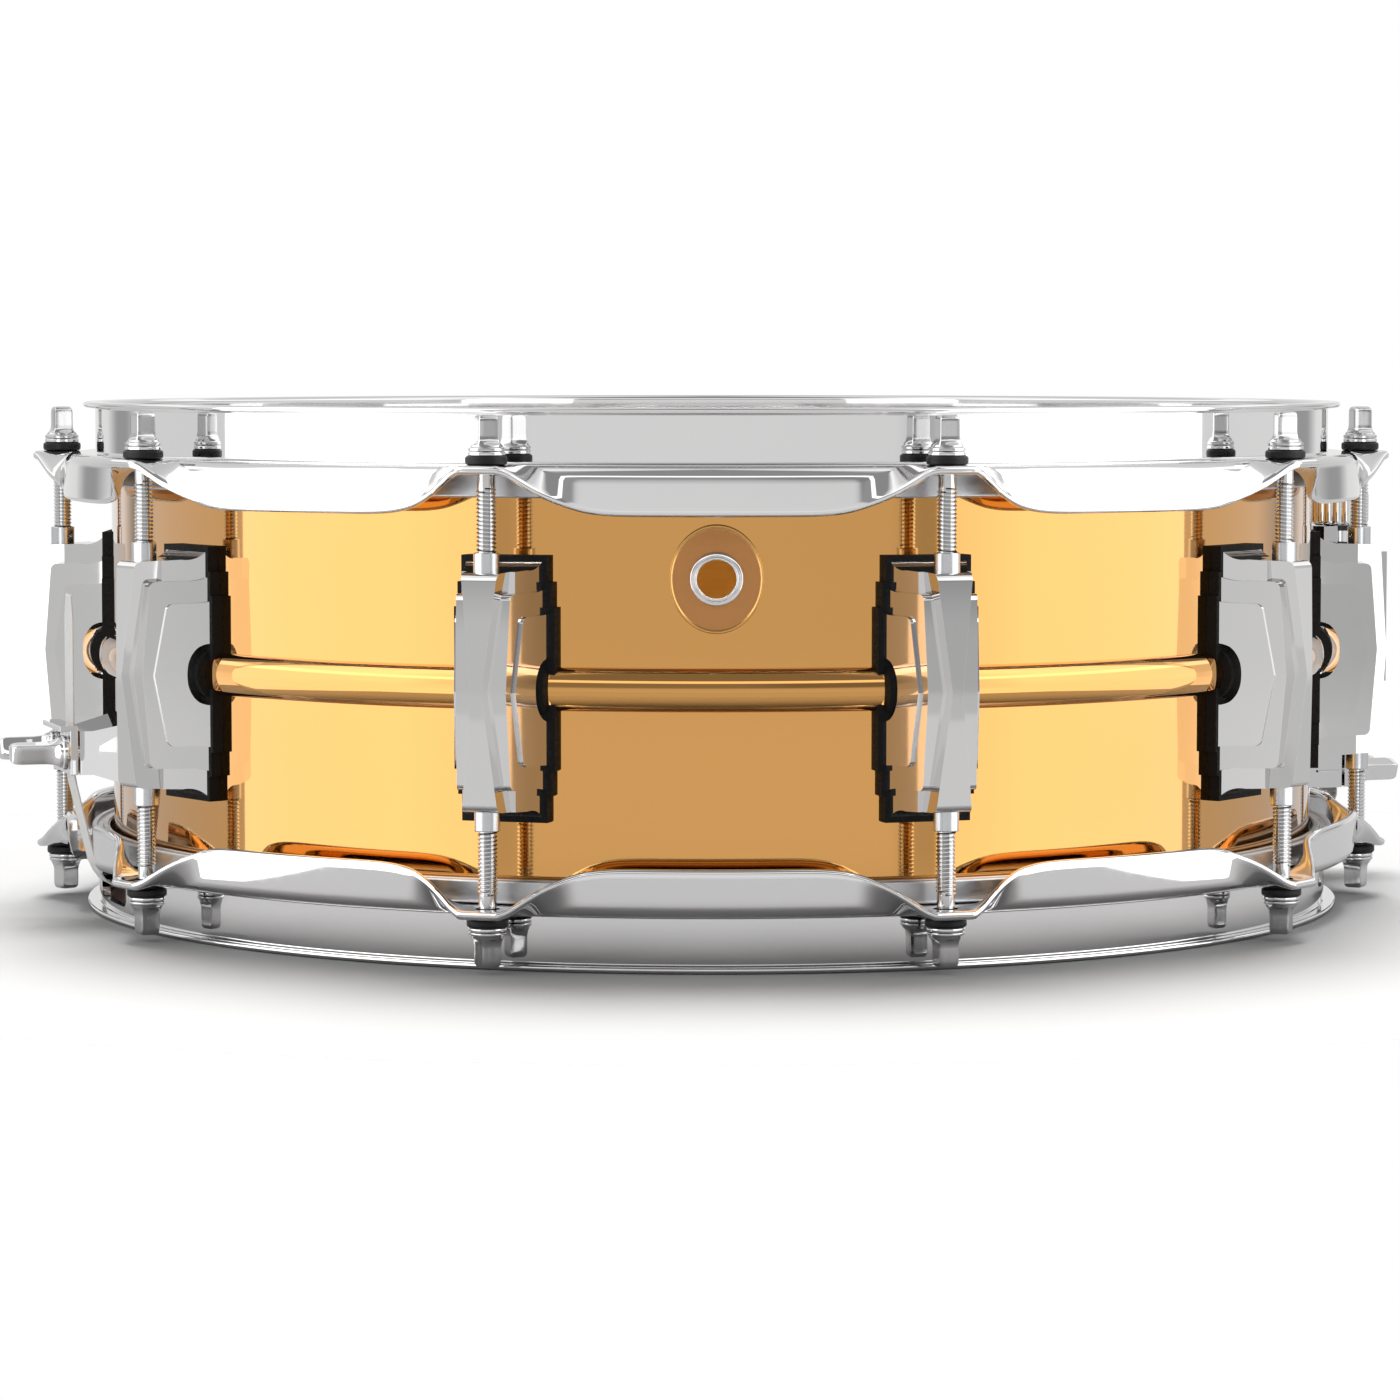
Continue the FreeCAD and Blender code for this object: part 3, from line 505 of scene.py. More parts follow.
class Look(Enum):
    """The drum's finishes."""

    BRASS = Finish(
        "lacquered_brass", colour=(0.695, 0.332, 0.064), second=(0.715, 0.345, 0.070), metallic=1.0,
        rough_low=0.035, rough_high=0.06, grain_scale=(1.0, 1.0, 60.0), grain_size=30.0,
        grain_mm=0.002, grain_strength=0.05, coat=1.0, coat_ior=1.6,
    )
    BRASS_INSIDE = Finish(
        "brass_inside", colour=(0.86, 0.43, 0.075), second=(0.80, 0.39, 0.065), metallic=1.0,
        rough_low=0.5, rough_high=0.65, grain_scale=(1.0, 1.0, 40.0), grain_size=60.0,
        grain_mm=0.01,
    )
    LUG_CHROME = Finish(
        "cast_lug_chrome", colour=(0.74, 0.735, 0.735), second=(0.78, 0.775, 0.775), metallic=1.0,
        rough_low=0.03, rough_high=0.06, grain_size=180.0, grain_mm=0.003, grain_strength=0.05,
    )
    CHROME = Finish(
        "chrome_plate", colour=(0.80, 0.795, 0.80), second=(0.83, 0.825, 0.825), metallic=1.0,
        rough_low=0.025, rough_high=0.05, grain_size=240.0, grain_mm=0.001, grain_strength=0.03,
    )
    STEEL = Finish(
        "plated_steel", colour=(0.62, 0.62, 0.625), second=(0.70, 0.70, 0.70), metallic=1.0,
        rough_low=0.10, rough_high=0.20, grain_scale=(1.0, 1.0, 0.2), grain_size=900.0,
        grain_mm=0.004, grain_strength=0.10,
    )
    NUT_STEEL = Finish(
        "satin_nut_steel", colour=(0.60, 0.61, 0.63), second=(0.68, 0.69, 0.71), metallic=1.0,
        rough_low=0.18, rough_high=0.30, grain_scale=(1.0, 1.0, 0.15), grain_size=1200.0,
        grain_mm=0.004, grain_strength=0.15,
    )
    ALUMINIUM = Finish(
        "flesh_hoop_aluminium", colour=(0.50, 0.505, 0.52), second=(0.58, 0.585, 0.60),
        metallic=1.0, rough_low=0.28, rough_high=0.42, grain_scale=(1.0, 1.0, 3.0),
        grain_size=300.0, grain_mm=0.01, grain_strength=0.25,
    )
    RUBBER = Finish(
        "black_rubber", colour=(0.0025, 0.0022, 0.0022), second=(0.008, 0.0075, 0.0075),
        rough_low=0.5, rough_high=0.8, grain_size=1400.0, grain_mm=0.06, grain_strength=0.7,
        specular=0.22,
    )
    NYLON = Finish(
        "black_nylon", colour=(0.004, 0.004, 0.004), second=(0.009, 0.009, 0.009), rough_low=0.35,
        rough_high=0.55, grain_size=1800.0, grain_mm=0.03, grain_strength=0.4, specular=0.35,
    )
    COATED = Finish(
        "coated_head", colour=(0.86, 0.86, 0.84), second=(0.91, 0.91, 0.90), rough_low=0.65,
        rough_high=0.9, grain_size=900.0, grain_mm=0.05, grain_strength=0.5, transmission=0.75,
    )
    CLEAR = Finish(
        "clear_head", colour=(0.93, 0.94, 0.94), second=(0.96, 0.97, 0.97), rough_low=0.05,
        rough_high=0.12, grain_size=60.0, grain_strength=0.0, transmission=0.9,
    )
    BADGE = Finish(
        "badge_bronze", colour=(0.60, 0.285, 0.095), second=(0.55, 0.255, 0.095), metallic=0.9,
        rough_low=0.34, rough_high=0.48, grain_size=700.0, grain_mm=0.015, grain_strength=0.35,
    )
    BADGE_RIM = Finish(
        "badge_rim", colour=(0.70, 0.38, 0.12), second=(0.76, 0.42, 0.14), metallic=1.0,
        rough_low=0.16, rough_high=0.26, grain_size=900.0, grain_mm=0.004,
    )
    STRAP = Finish(
        "strap_plastic", colour=(0.72, 0.72, 0.715), second=(0.80, 0.80, 0.79), rough_low=0.35,
        rough_high=0.5, grain_scale=(1.0, 1.0, 6.0), grain_mm=0.01,
    )
    SNARE = Finish(
        "snare_wire_steel", colour=(0.58, 0.58, 0.59), second=(0.66, 0.66, 0.67), metallic=1.0,
        rough_low=0.12, rough_high=0.22, grain_size=1500.0, grain_mm=0.003, grain_strength=0.1,
    )
    ZINC = Finish(
        "zinc_screw_steel", colour=(0.50, 0.50, 0.51), second=(0.58, 0.57, 0.56), metallic=1.0,
        rough_low=0.25, grain_size=600.0, grain_mm=0.01,
    )
    # Painted shade: near-black colour on the rod core between the thread turns, standing in for the shade in
    # the thread's grooves.
    THREAD_ROOT = Finish(
        "thread_root_steel", colour=(0.012, 0.012, 0.012), second=(0.03, 0.03, 0.03), metallic=0.6,
        rough_high=0.45, grain_size=1500.0, grain_mm=0.003, grain_strength=0.1,
    )
    DARK_METAL = Finish(
        "dark_collar", colour=(0.012, 0.012, 0.013), second=(0.02, 0.02, 0.02), rough_low=0.25,
        grain_size=900.0, grain_mm=0.01,
    )


MATERIALS: dict[str, bpy.types.Material] = {}


def material_of(look: Look) -> bpy.types.Material:
    """The one material of a finish, built when it is first asked for."""
    if look.name not in MATERIALS:
        MATERIALS[look.name] = look.value.build()
    return MATERIALS[look.name]


def dress(obj: bpy.types.Object, look: Look) -> None:
    """Gives a whole piece one finish."""
    obj.data.materials.clear()
    obj.data.materials.append(material_of(look))


def settle(obj: bpy.types.Object, body: str, nodes: Sequence[str]) -> bpy.types.Object:
    """Hands a finished piece to the frame.

    Args:
        obj: The finished piece, at the origin.
        body: The CAD body that it moves with.
        nodes: The CAD nodes that it stands for.

    Returns:
        The same object.
    """
    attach(obj, body)
    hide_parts(*nodes)
    LOG.info("%s rides on %s and stands for %s", obj.name, body, ", ".join(nodes))
    return obj


# ---- geometry nodes --------------------------------------------------------------------------


class TreeDesk:
    """Builds one geometry node tree with named inputs."""

    def __init__(self, name: str) -> None:
        """Starts an empty tree that gives out one geometry.

        Args:
            name: The tree's name.
        """
        self.tree = bpy.data.node_groups.new(name, "GeometryNodeTree")
        self.tree.interface.new_socket("Geometry", in_out="OUTPUT", socket_type="NodeSocketGeometry")
        self.outlet = self.tree.nodes.new("NodeGroupOutput")
        self.inlet: Node | None = None

    def asks(self, **kinds: str) -> None:
        """Adds named inputs, such as Radius="Float"."""
        for name, kind in kinds.items():
            self.tree.interface.new_socket(
                name, in_out="INPUT", socket_type=f"NodeSocket{kind}"
            )
        self.inlet = self.tree.nodes.new("NodeGroupInput")

    def add(self, kind: str, values: dict[str, object] | None = None, **settings: object) -> Node:
        """Adds a node.

        Args:
            kind: The node's type.
            values: Values by input name.
            **settings: The node's own settings.

        Returns:
            The new node.
        """
        node = self.tree.nodes.new(kind)
        for key, value in settings.items():
            setattr(node, key, value)
        for key, value in (values or {}).items():
            node.inputs[key].default_value = value
        return node

    def link(self, source: Socket, target: Socket) -> None:
        """Links two sockets."""
        self.tree.links.new(source, target)

    def given(self, name: str) -> Socket:
        """The group input of this name."""
        return self.inlet.outputs[name]

    def math(self, operation: str, first: object, second: object) -> Socket:
        """A sum on two numbers or sockets.

        Args:
            operation: The sum's name.
            first: The first number or socket.
            second: The second number or socket.

        Returns:
            The result's socket.
        """
        node = self.add("ShaderNodeMath", operation=operation)
        for socket, value in zip(node.inputs, (first, second)):
            if isinstance(value, Socket):
                self.link(value, socket)
            else:
                socket.default_value = value
        return node.outputs[0]

    def finish(self, source: Socket) -> bpy.types.NodeTree:
        """Ends the tree in Realize Instances and Set Material.

        Args:
            source: The geometry to give out.

        Returns:
            The finished tree.
        """
        realize = self.add("GeometryNodeRealizeInstances")
        paint = self.add("GeometryNodeSetMaterial")
        self.link(source, realize.inputs["Geometry"])
        self.link(realize.outputs["Geometry"], paint.inputs["Geometry"])
        self.link(self.given("Material"), paint.inputs["Material"])
        self.link(paint.outputs["Geometry"], self.outlet.inputs["Geometry"])
        return self.tree


def grown(name: str, tree: bpy.types.NodeTree, values: dict[str, object]) -> bpy.types.Mesh:
    """Runs a geometry node tree once and keeps its plain mesh.

    Args:
        name: The mesh's name.
        tree: The tree to run.
        values: A value for each named input.

    Returns:
        The mesh that the tree makes.
    """
    obj = new_object(name, bpy.data.meshes.new(name))
    modifier = obj.modifiers.new("tree", "NODES")
    modifier.node_group = tree
    for item in tree.interface.items_tree:
        if item.in_out == "INPUT" and item.name in values:
            modifier[item.identifier] = values[item.name]
    apply_modifiers(obj)
    mesh = obj.data
    bpy.data.objects.remove(obj)
    return mesh


def spiral_tree() -> bpy.types.NodeTree:
    """A wire or ridge wound round Z: the thread of a rod, or the coil of a snare wire.

    Returns:
        A tree that sweeps a round or three-sided profile along a helix.
    """
    desk = TreeDesk("wound_ridge")
    desk.asks(
        Radius="Float", Wire="Float", Pitch="Float", Turns="Float", Steps="Int", Sides="Int",
        Material="Material",
    )
    spiral = desk.add("GeometryNodeCurveSpiral")
    desk.link(desk.given("Steps"), spiral.inputs["Resolution"])
    desk.link(desk.given("Turns"), spiral.inputs["Rotations"])
    desk.link(desk.given("Radius"), spiral.inputs["Start Radius"])
    desk.link(desk.given("Radius"), spiral.inputs["End Radius"])
    height = desk.math("MULTIPLY", desk.given("Turns"), desk.given("Pitch"))
    desk.link(height, spiral.inputs["Height"])
    upright = desk.add("GeometryNodeSetCurveNormal")
    upright.mode = "Z_UP"
    desk.link(spiral.outputs["Curve"], upright.inputs["Curve"])
    profile = desk.add("GeometryNodeCurvePrimitiveCircle")
    desk.link(desk.given("Sides"), profile.inputs["Resolution"])
    desk.link(desk.given("Wire"), profile.inputs["Radius"])
    sweep = desk.add("GeometryNodeCurveToMesh", {"Fill Caps": True})
    desk.link(upright.outputs["Curve"], sweep.inputs["Curve"])
    desk.link(profile.outputs["Curve"], sweep.inputs["Profile Curve"])
    return desk.finish(sweep.outputs["Mesh"])


def rim_tree() -> bpy.types.NodeTree:
    """One piece repeated round the drum at every rod, on both sides of the bead.

    Returns:
        A tree that stands a piece on a circle and stands it again, turned over, on the other side.
    """
    desk = TreeDesk("round_the_rim")
    desk.asks(
        Piece="Object", Count="Int", Circle="Float", First="Float", Height="Float",
        Material="Material",
    )
    source = desk.add("GeometryNodeObjectInfo")
    desk.link(desk.given("Piece"), source.inputs["Object"])
    ring = desk.add("GeometryNodeMeshCircle")
    desk.link(desk.given("Count"), ring.inputs["Vertices"])
    desk.link(desk.given("Circle"), ring.inputs["Radius"])
    turn = desk.add("ShaderNodeCombineXYZ")
    desk.link(desk.given("First"), turn.inputs["Z"])
    turned = desk.add("GeometryNodeTransform")
    desk.link(ring.outputs["Mesh"], turned.inputs["Geometry"])
    desk.link(turn.outputs["Vector"], turned.inputs["Rotation"])
    stand = desk.add("GeometryNodeInstanceOnPoints")
    desk.link(turned.outputs["Geometry"], stand.inputs["Points"])
    desk.link(source.outputs["Geometry"], stand.inputs["Instance"])
    over = desk.add("GeometryNodeTransform", {"Rotation": (math.pi, 0.0, 0.0)})
    lift = desk.add("ShaderNodeCombineXYZ")
    desk.link(desk.given("Height"), lift.inputs["Z"])
    desk.link(stand.outputs["Instances"], over.inputs["Geometry"])
    desk.link(lift.outputs["Vector"], over.inputs["Translation"])
    both = desk.add("GeometryNodeJoinGeometry")
    desk.link(stand.outputs["Instances"], both.inputs["Geometry"])
    desk.link(over.outputs["Geometry"], both.inputs["Geometry"])
    return desk.finish(both.outputs["Geometry"])


def row_tree() -> bpy.types.NodeTree:
    """One piece repeated in a straight row along Y, as the snare wires lie.

    Returns:
        A tree that instances a piece on a line of points.
    """
    desk = TreeDesk("side_by_side")
    desk.asks(Piece="Object", Count="Int", Pitch="Float", Material="Material")
    source = desk.add("GeometryNodeObjectInfo")
    desk.link(desk.given("Piece"), source.inputs["Object"])
    line = desk.add("GeometryNodeMeshLine")
    desk.link(desk.given("Count"), line.inputs["Count"])
    start = desk.add("ShaderNodeCombineXYZ")
    step = desk.add("ShaderNodeCombineXYZ")
    gaps = desk.math("SUBTRACT", desk.given("Count"), 1.0)
    span = desk.math("MULTIPLY", gaps, desk.given("Pitch"))
    desk.link(desk.math("MULTIPLY", span, -0.5), start.inputs["Y"])
    desk.link(desk.given("Pitch"), step.inputs["Y"])
    desk.link(start.outputs["Vector"], line.inputs["Start Location"])
    desk.link(step.outputs["Vector"], line.inputs["Offset"])
    stand = desk.add("GeometryNodeInstanceOnPoints")
    desk.link(line.outputs["Mesh"], stand.inputs["Points"])
    desk.link(source.outputs["Geometry"], stand.inputs["Instance"])
    return desk.finish(stand.outputs["Instances"])


# ---- the shell -------------------------------------------------------------------------------


@dataclass
class Shell:
    """The rolled brass shell with its flanged edges, centre bead and vent hole."""

    segments: int = 360
    flange_reach: float = 7.0
    flange_drop: float = 3.0
    edge_round: float = 2.4
    bead_steps: int = 20
    vent_hole: float = 5.6

    def bead_points(self, inset: float) -> list[Point]:
        """The bead's half-round section, from bottom to top.

        Args:
            inset: How far inside the outer face this line runs, in millimetres.

        Returns:
            Points of (radius, height).
        """
        outer = SIZES.shell_radius
        half, reach = SIZES.bead_half, SIZES.bead_reach
        points: list[Point] = []
        for step in range(self.bead_steps + 1):
            turn = math.pi * step / self.bead_steps
            across = outer - inset + reach * math.sin(turn) ** 0.9
            up = SIZES.middle - (half - inset * 0.6) * math.cos(turn)
            points.append((across, up))
        return points

    def outline(self) -> list[Point]:
        """The shell wall's section.

        Returns:
            Points of (radius, height) round the closed outline.
        """
        outer, wall = SIZES.shell_radius, SIZES.shell_wall
        low, high = SIZES.shell_low, SIZES.shell_high
        reach, drop = self.flange_reach, self.flange_drop
        soft = self.edge_round
        corners = [
            (outer - reach, low + drop, 0.2),
            (outer - reach, low + drop - wall, 0.2),
            (outer - soft, low, 2.2),
            (outer, low + soft, 2.2),
        ]
        outside = rounded(
            corners + [(outer, SIZES.middle, 0), (outer - wall, SIZES.middle, 0)], 6
        )[:-2]
        inner = [
            (outer - wall, low + soft, 1.2),
            (outer - soft, low + wall, 1.2),
        ]
        inside = rounded(
            [(outer - wall, SIZES.middle, 0)] + inner + [(outer - reach, low + drop, 0)], 5
        )[1:-1]
        mirror = 2 * SIZES.middle
        top_outside = [(r, mirror - z) for r, z in reversed(outside)]
        top_inside = [(r, mirror - z) for r, z in reversed(inside)]
        guard = [(outer, SIZES.middle - SIZES.bead_half - 0.8)]
        guard_top = [(outer, SIZES.middle + SIZES.bead_half + 0.8)]
        back = list(reversed(self.bead_points(wall)))
        return (
            outside + guard + self.bead_points(0.0) + guard_top + top_outside
            + top_inside + back + inside
        )

    def build(self) -> None:
        """Makes the shell and hands it over."""
        obj = new_object("brass_shell", lathe("brass_shell", self.outline(), self.segments))
        bore = lathe("bore", [(0, -10), (self.vent_hole, -10), (self.vent_hole, 10), (0, 10)], 64)
        aim = Matrix.Translation((0, 0, SIZES.vent_rise * MM)) @ turn_to(0) @ Matrix.Translation(
            (SIZES.shell_radius * MM, 0, 0)
        ) @ Matrix.Rotation(math.pi / 2, 4, "Y")
        bore.transform(aim)
        cut_away(obj, bore)
        smooth_by_angle(obj, 40.0)
        dress(obj, Look.BRASS)
        obj.data.materials.append(material_of(Look.BRASS_INSIDE))
        for face in obj.data.polygons:
            radial = Vector((face.center.x, face.center.y, 0)).normalized()
            face.material_index = int(face.normal.dot(radial) < -0.2)
        settle(obj, "drum", ["shell"])


# ---- hoops and heads -------------------------------------------------------------------------


@dataclass
class Hoop:
    """A triple-flanged hoop: rolled lip, collar, and a flange that bends between its ears."""

    steps_round: int = 1080
    collar_inner: float = 179.2
    sheet: float = 2.3
    lip_radius: float = 185.0
    lip_height: float = 1.6
    shelf_low: float = 14.7
    ear_radius: float = 199.5
    bend_start: float = 187.0
    bend_radius: float = 2.6
    ear_half: float = 4.5
    upright: float = math.radians(88.0)
    fold_run: float = 20.0
    trim_run: float = 50.0
    trim_power: float = 7.2
    rod_hole: float = 3.3
    gate_half: float = 17.0

    def fold(self, distance: float) -> tuple[float, float]:
        """How the flange stands at a distance from the nearest rod.

        Args:
            distance: Arc length from the rod, in millimetres.

        Returns:
            The flange's angle from the flat, in radians, and the share of its full width that
            is left where its edge is trimmed.
        """
        past_ear = max(0.0, distance - self.ear_half)
        run = min(1.0, past_ear / self.trim_run)
        depth = 1 - (1 - run) ** self.trim_power * (1 + self.trim_power * run)
        turn = min(1.0, past_ear / self.fold_run)
        angle = self.upright * turn * turn * (3 - 2 * turn)
        if angle < 0.02:
            return angle, 1.0
        return angle, min(1.0, depth / math.sin(angle))

    def flange_line(self, angle: float, share: float) -> list[tuple[float, float, float]]:
        """The flange's mid-line, from the collar outwards.

        Args:
            angle: The flange's angle from the flat, in radians.
            share: The share of the flange's full width that is left after trimming.

        Returns:
            Points of (radius, height, heading).
        """
        level = self.shelf_low + self.sheet / 2
        length = (self.ear_radius - self.bend_start) * share
        points = [(self.collar_inner + self.sheet + 0.4, level, 0.0)]
        points.append((self.bend_start - 1.2, level, 0.0))
        steps = 8
        across, up = self.bend_start, level
        points.append((across, up, 0.0))
        used = 0.0
        part = angle * self.bend_radius / steps
        for step in range(1, steps + 1):
            heading = angle * (step - 0.5) / steps
            across += part * math.cos(heading)
            up += part * math.sin(heading)
            used += part
            points.append((across, up, angle * step / steps))
        rest = length - used
        for part_way in (0.15, 0.85, 1.0):
            points.append(
                (
                    across + rest * part_way * math.cos(angle),
                    up + rest * part_way * math.sin(angle),
                    angle,
                )
            )
        return points

    def section(self, angle: float, share: float) -> list[Point]:
        """The hoop's closed section for one stand of the flange, snare side down.

        Args:
            angle: The flange's angle from the flat, in radians.
            share: The share of the flange's full width that is left after trimming.

        Returns:
            Points of (radius, height) round the closed outline.
        """
        half = self.sheet / 2
        line = self.flange_line(angle, share)
        under = [(r + half * math.sin(a), z - half * math.cos(a)) for r, z, a in line]
        over = [(r - half * math.sin(a), z + half * math.cos(a)) for r, z, a in line]
        tip_across, tip_up, heading = line[-1]
        edge: list[Point] = []
        for step in range(1, 6):
            turn = heading - math.pi / 2 + math.pi * step / 6
            edge.append((tip_across + half * math.cos(turn), tip_up + half * math.sin(turn)))
        inner, outer = self.collar_inner, self.collar_inner + self.sheet
        lip = rounded(
            [
                (inner, 5.0, 0),
                (inner, 0.0, 1.5),
                (self.lip_radius, 0.0, 0.78),
                (self.lip_radius, self.lip_height, 0.78),
                (outer, self.lip_height, 0.5),
                (outer, self.shelf_low, 0.7),
                (outer + 1.4, self.shelf_low, 0),
            ],
            6,
        )
        crown = rounded(
            [
                (outer + 1.2, self.shelf_low + self.sheet, 0),
                (inner, self.shelf_low + self.sheet, 1.3),
                (inner, 5.6, 0),
            ],
            6,
        )
        return lip[:-1] + under + edge + list(reversed(over)) + crown[1:]

    def body(self, name: str) -> bpy.types.Mesh:
        """The whole hoop, snare side down.

        Args:
            name: The mesh's name.

        Returns:
            The mesh of the hoop before its holes.
        """
        rings = []
        bearings = SIZES.lug_bearings()
        for step in range(self.steps_round):
            bearing = 360.0 * step / self.steps_round
            near = min(abs((bearing - lug + 180) % 360 - 180) for lug in bearings)
            distance = math.radians(near) * SIZES.rod_circle
            turn = math.radians(bearing - 90)
            ring = [
                (r * math.cos(turn), r * math.sin(turn), z)
                for r, z in self.section(*self.fold(distance))
            ]
            rings.append(ring)
        return ring_mesh(name, rings, True)

    def pins(self) -> list[tuple[bpy.types.Mesh, Matrix]]:
        """The ten rod holes' cutters.

        Returns:
            Pairs of a cutter and its place.
        """
        pin = lathe("pin", [(0, 8), (self.rod_hole, 8), (self.rod_hole, 24), (0, 24)], 32)
        out = Matrix.Translation((SIZES.rod_circle * MM, 0, 0))
        return [(pin, turn_to(bearing) @ out) for bearing in SIZES.lug_bearings()]

    def gates(self) -> list[tuple[bpy.types.Mesh, Matrix]]:
        """The cutters of the two gates that the snare straps leave by.

        Returns:
            Pairs of a cutter and its place.
        """
        half = self.gate_half
        mouth = rounded(
            [(-half, 4.2, 2.5), (half, 4.2, 2.5), (half + 2, 40, 0), (-half - 2, 40, 0)], 6
        )
        rings = [[(reach, y, z) for y, z in mouth] for reach in (177.0, 215.0)]
        gate = ring_mesh("gate", rings, False)
        return [(gate, turn_to(SIZES.gate_bearing - turn)) for turn in (0, 180)]

    def build(self) -> None:
        """Makes both hoops and hands them over."""
        blank = self.body("hoop_blank")
        plan = (
            ("hoop_batter_side", "batter_hoop", self.pins(), flip()),
            ("hoop_snare_side", "snare_hoop", self.pins() + self.gates(), Matrix.Identity(4)),
        )
        for name, node, cutters, place in plan:
            obj = new_object(name, blank.copy())
            cut_away(obj, joined("cutters", cutters))
            obj.data = joined(name, [(obj.data, place)])
            smooth_by_angle(obj, 38.0)
            dress(obj, Look.CHROME)
            settle(obj, "drum", [node])


@dataclass
class Heads:
    """Both drum heads and the flesh hoops that hold them."""

    segments: int = 288
    film: float = 0.25
    collar_radius: float = 178.6
    flesh_inner: float = 178.7
    flesh_outer: float = 183.5
    flesh_low: float = 17.05
    flesh_tall: float = 6.4

    def film_outline(self) -> list[Point]:
        """A head's film: a flat field with a formed collar, snare side down.

        Returns:
            Points of (radius, height) round the closed outline.
        """
        low, edge = SIZES.shell_low, SIZES.shell_radius
        field_radii = [0.0, 60.0, 120.0, 160.0, edge - 5.0, edge - 2.6]
        curve = [(edge - 1.0, 0.45), (edge + 0.3, 1.4), (self.collar_radius - 0.5, 2.6)]
        collar = [(self.collar_radius, 4.2), (self.collar_radius, 13.2)]
        outside = [(r, low - self.film) for r in field_radii]
        outside += [(r, low - self.film + rise) for r, rise in curve + collar]
        inside = [(r - self.film, z) for r, z in reversed(outside[len(field_radii):])]
        inside += [(r, low) for r in reversed(field_radii)]
        return outside + inside

    def flesh_outline(self) -> list[Point]:
        """The flesh hoop's channel section, snare side down.

        Returns:
            Points of (radius, height) round the closed outline.
        """
        low, high = self.flesh_low, self.flesh_low + self.flesh_tall
        inner, outer = self.flesh_inner, self.flesh_outer
        return rounded(
            [
                (inner, low, 0.6),
                (outer, low, 1.2),
                (outer, high, 0.7),
                (outer - 1.5, high, 0.3),
                (outer - 1.7, high - 1.0, 0.3),
                (inner + 1.6, high - 1.0, 0.3),
                (inner + 1.4, high, 0.3),
                (inner, high, 0.4),
            ],
            4,
        )

    def build(self) -> None:
        """Makes the four rings and hands them over."""
        film = lathe("head_film", self.film_outline(), self.segments)
        flesh = lathe("flesh_ring", self.flesh_outline(), self.segments)
        upright = Matrix.Identity(4)
        plan = (
            ("head_snare_side", film, upright, Look.CLEAR, "snare_head", "clear_film"),
            ("head_batter_side", film, flip(), Look.COATED, "batter_head", "coated_film"),
            ("flesh_hoop_snare_side", flesh, upright, Look.ALUMINIUM, "snare_flesh_hoop",
             "flesh_hoop_aluminium"),
            ("flesh_hoop_batter_side", flesh, flip(), Look.ALUMINIUM, "batter_flesh_hoop",
             "flesh_hoop_aluminium"),
        )
        for name, mesh, place, look, node, slot in plan:
            obj = new_object(name, joined(name, [(mesh, place)]))
            smooth_by_angle(obj, 40.0)
            dress(obj, look)
            settle(obj, "drum", [node])


# ---- lugs and tension rods -------------------------------------------------------------------


@dataclass
class Lugs:
    """The ten cast lugs, their rubber gaskets, swivel nuts and screws."""

    edge: float = 0.8
    gasket_edge: float = 0.35
    relief_centre: float = 179.4
    relief_rings: tuple[tuple[float, float, float], ...] = (
        (10.2, 3.4, 6.0), (10.5, 5.2, 7.2), (11.0, 6.6, 7.8), (11.8, 7.8, 8.3), (14.5, 8.6, 8.8),
    )
    nut_outer: float = 3.4
    nut_bore: float = 2.75
    nut_root: float = 17.0
    nut_reach: float = 36.2

    def build(self) -> None:
        """Makes the lugs and what belongs to them."""
        first = cad_copy("lug_casting", ["lug_01"], 0.0)
        cut_away(first, self.relief())
        bevel(first, self.edge, 20.0)
        smooth_by_angle(first, 50.0)
        home = turn_to(SIZES.lug_bearings()[0]).inverted()
        for index, bearing in enumerate(SIZES.lug_bearings(), start=1):
            name = f"lug_casting_{index:02d}"
            mesh = first.data.copy()
            mesh.transform(turn_to(bearing) @ home)
            obj = new_object(name, mesh)
            dress(obj, Look.LUG_CHROME)
            settle(obj, "drum", [f"lug_{index:02d}"])
        bpy.data.objects.remove(first)
        pads = cad_copy("lug_rubber_gaskets", ["lug_gaskets"], self.gasket_edge, 30.0)
        smooth_by_angle(pads, 40.0)
        dress(pads, Look.RUBBER)
        settle(pads, "drum", ["lug_gaskets"])
        screws = cad_copy("lug_screws_and_washers", ["lug_screws"], 0.25, 40.0)
        smooth_by_angle(screws, 40.0)
        dress(screws, Look.ZINC)
        settle(screws, "drum", ["lug_screws"])
        self.nuts()

    def relief(self) -> bpy.types.Mesh:
        """The flared recess round the bead's notch on both flanks of the first lug.

        Returns:
            Both recesses as one mesh.
        """
        parts = []
        for side in (-1, 1):
            rings = []
            for across, reach, tall in self.relief_rings:
                ring = []
                for step in range(48):
                    turn = 2 * math.pi * step / 48
                    ring.append((
                        self.relief_centre + reach * math.cos(turn), side * across,
                        SIZES.middle + tall * math.sin(turn),
                    ))
                rings.append(ring)
            place = turn_to(SIZES.lug_bearings()[0])
            parts.append((ring_mesh("relief", rings, False), place))
        return joined("reliefs", parts)

    def nuts(self) -> None:
        """The swivel nuts, whose collars show at the lugs' ends."""
        base, tip = SIZES.middle + self.nut_root, SIZES.middle + self.nut_reach
        sleeve = lathe(
            "sleeve",
            rounded(
                [
                    (self.nut_bore, base, 0.1),
                    (self.nut_outer, base, 0.3),
                    (self.nut_outer, tip, 0.45),
                    (self.nut_bore, tip, 0.3),
                ],
                4,
            ),
            48,
        )
        round_the_rim("swivel_nut_set", sleeve, Look.NUT_STEEL, ["swivel_nuts"])


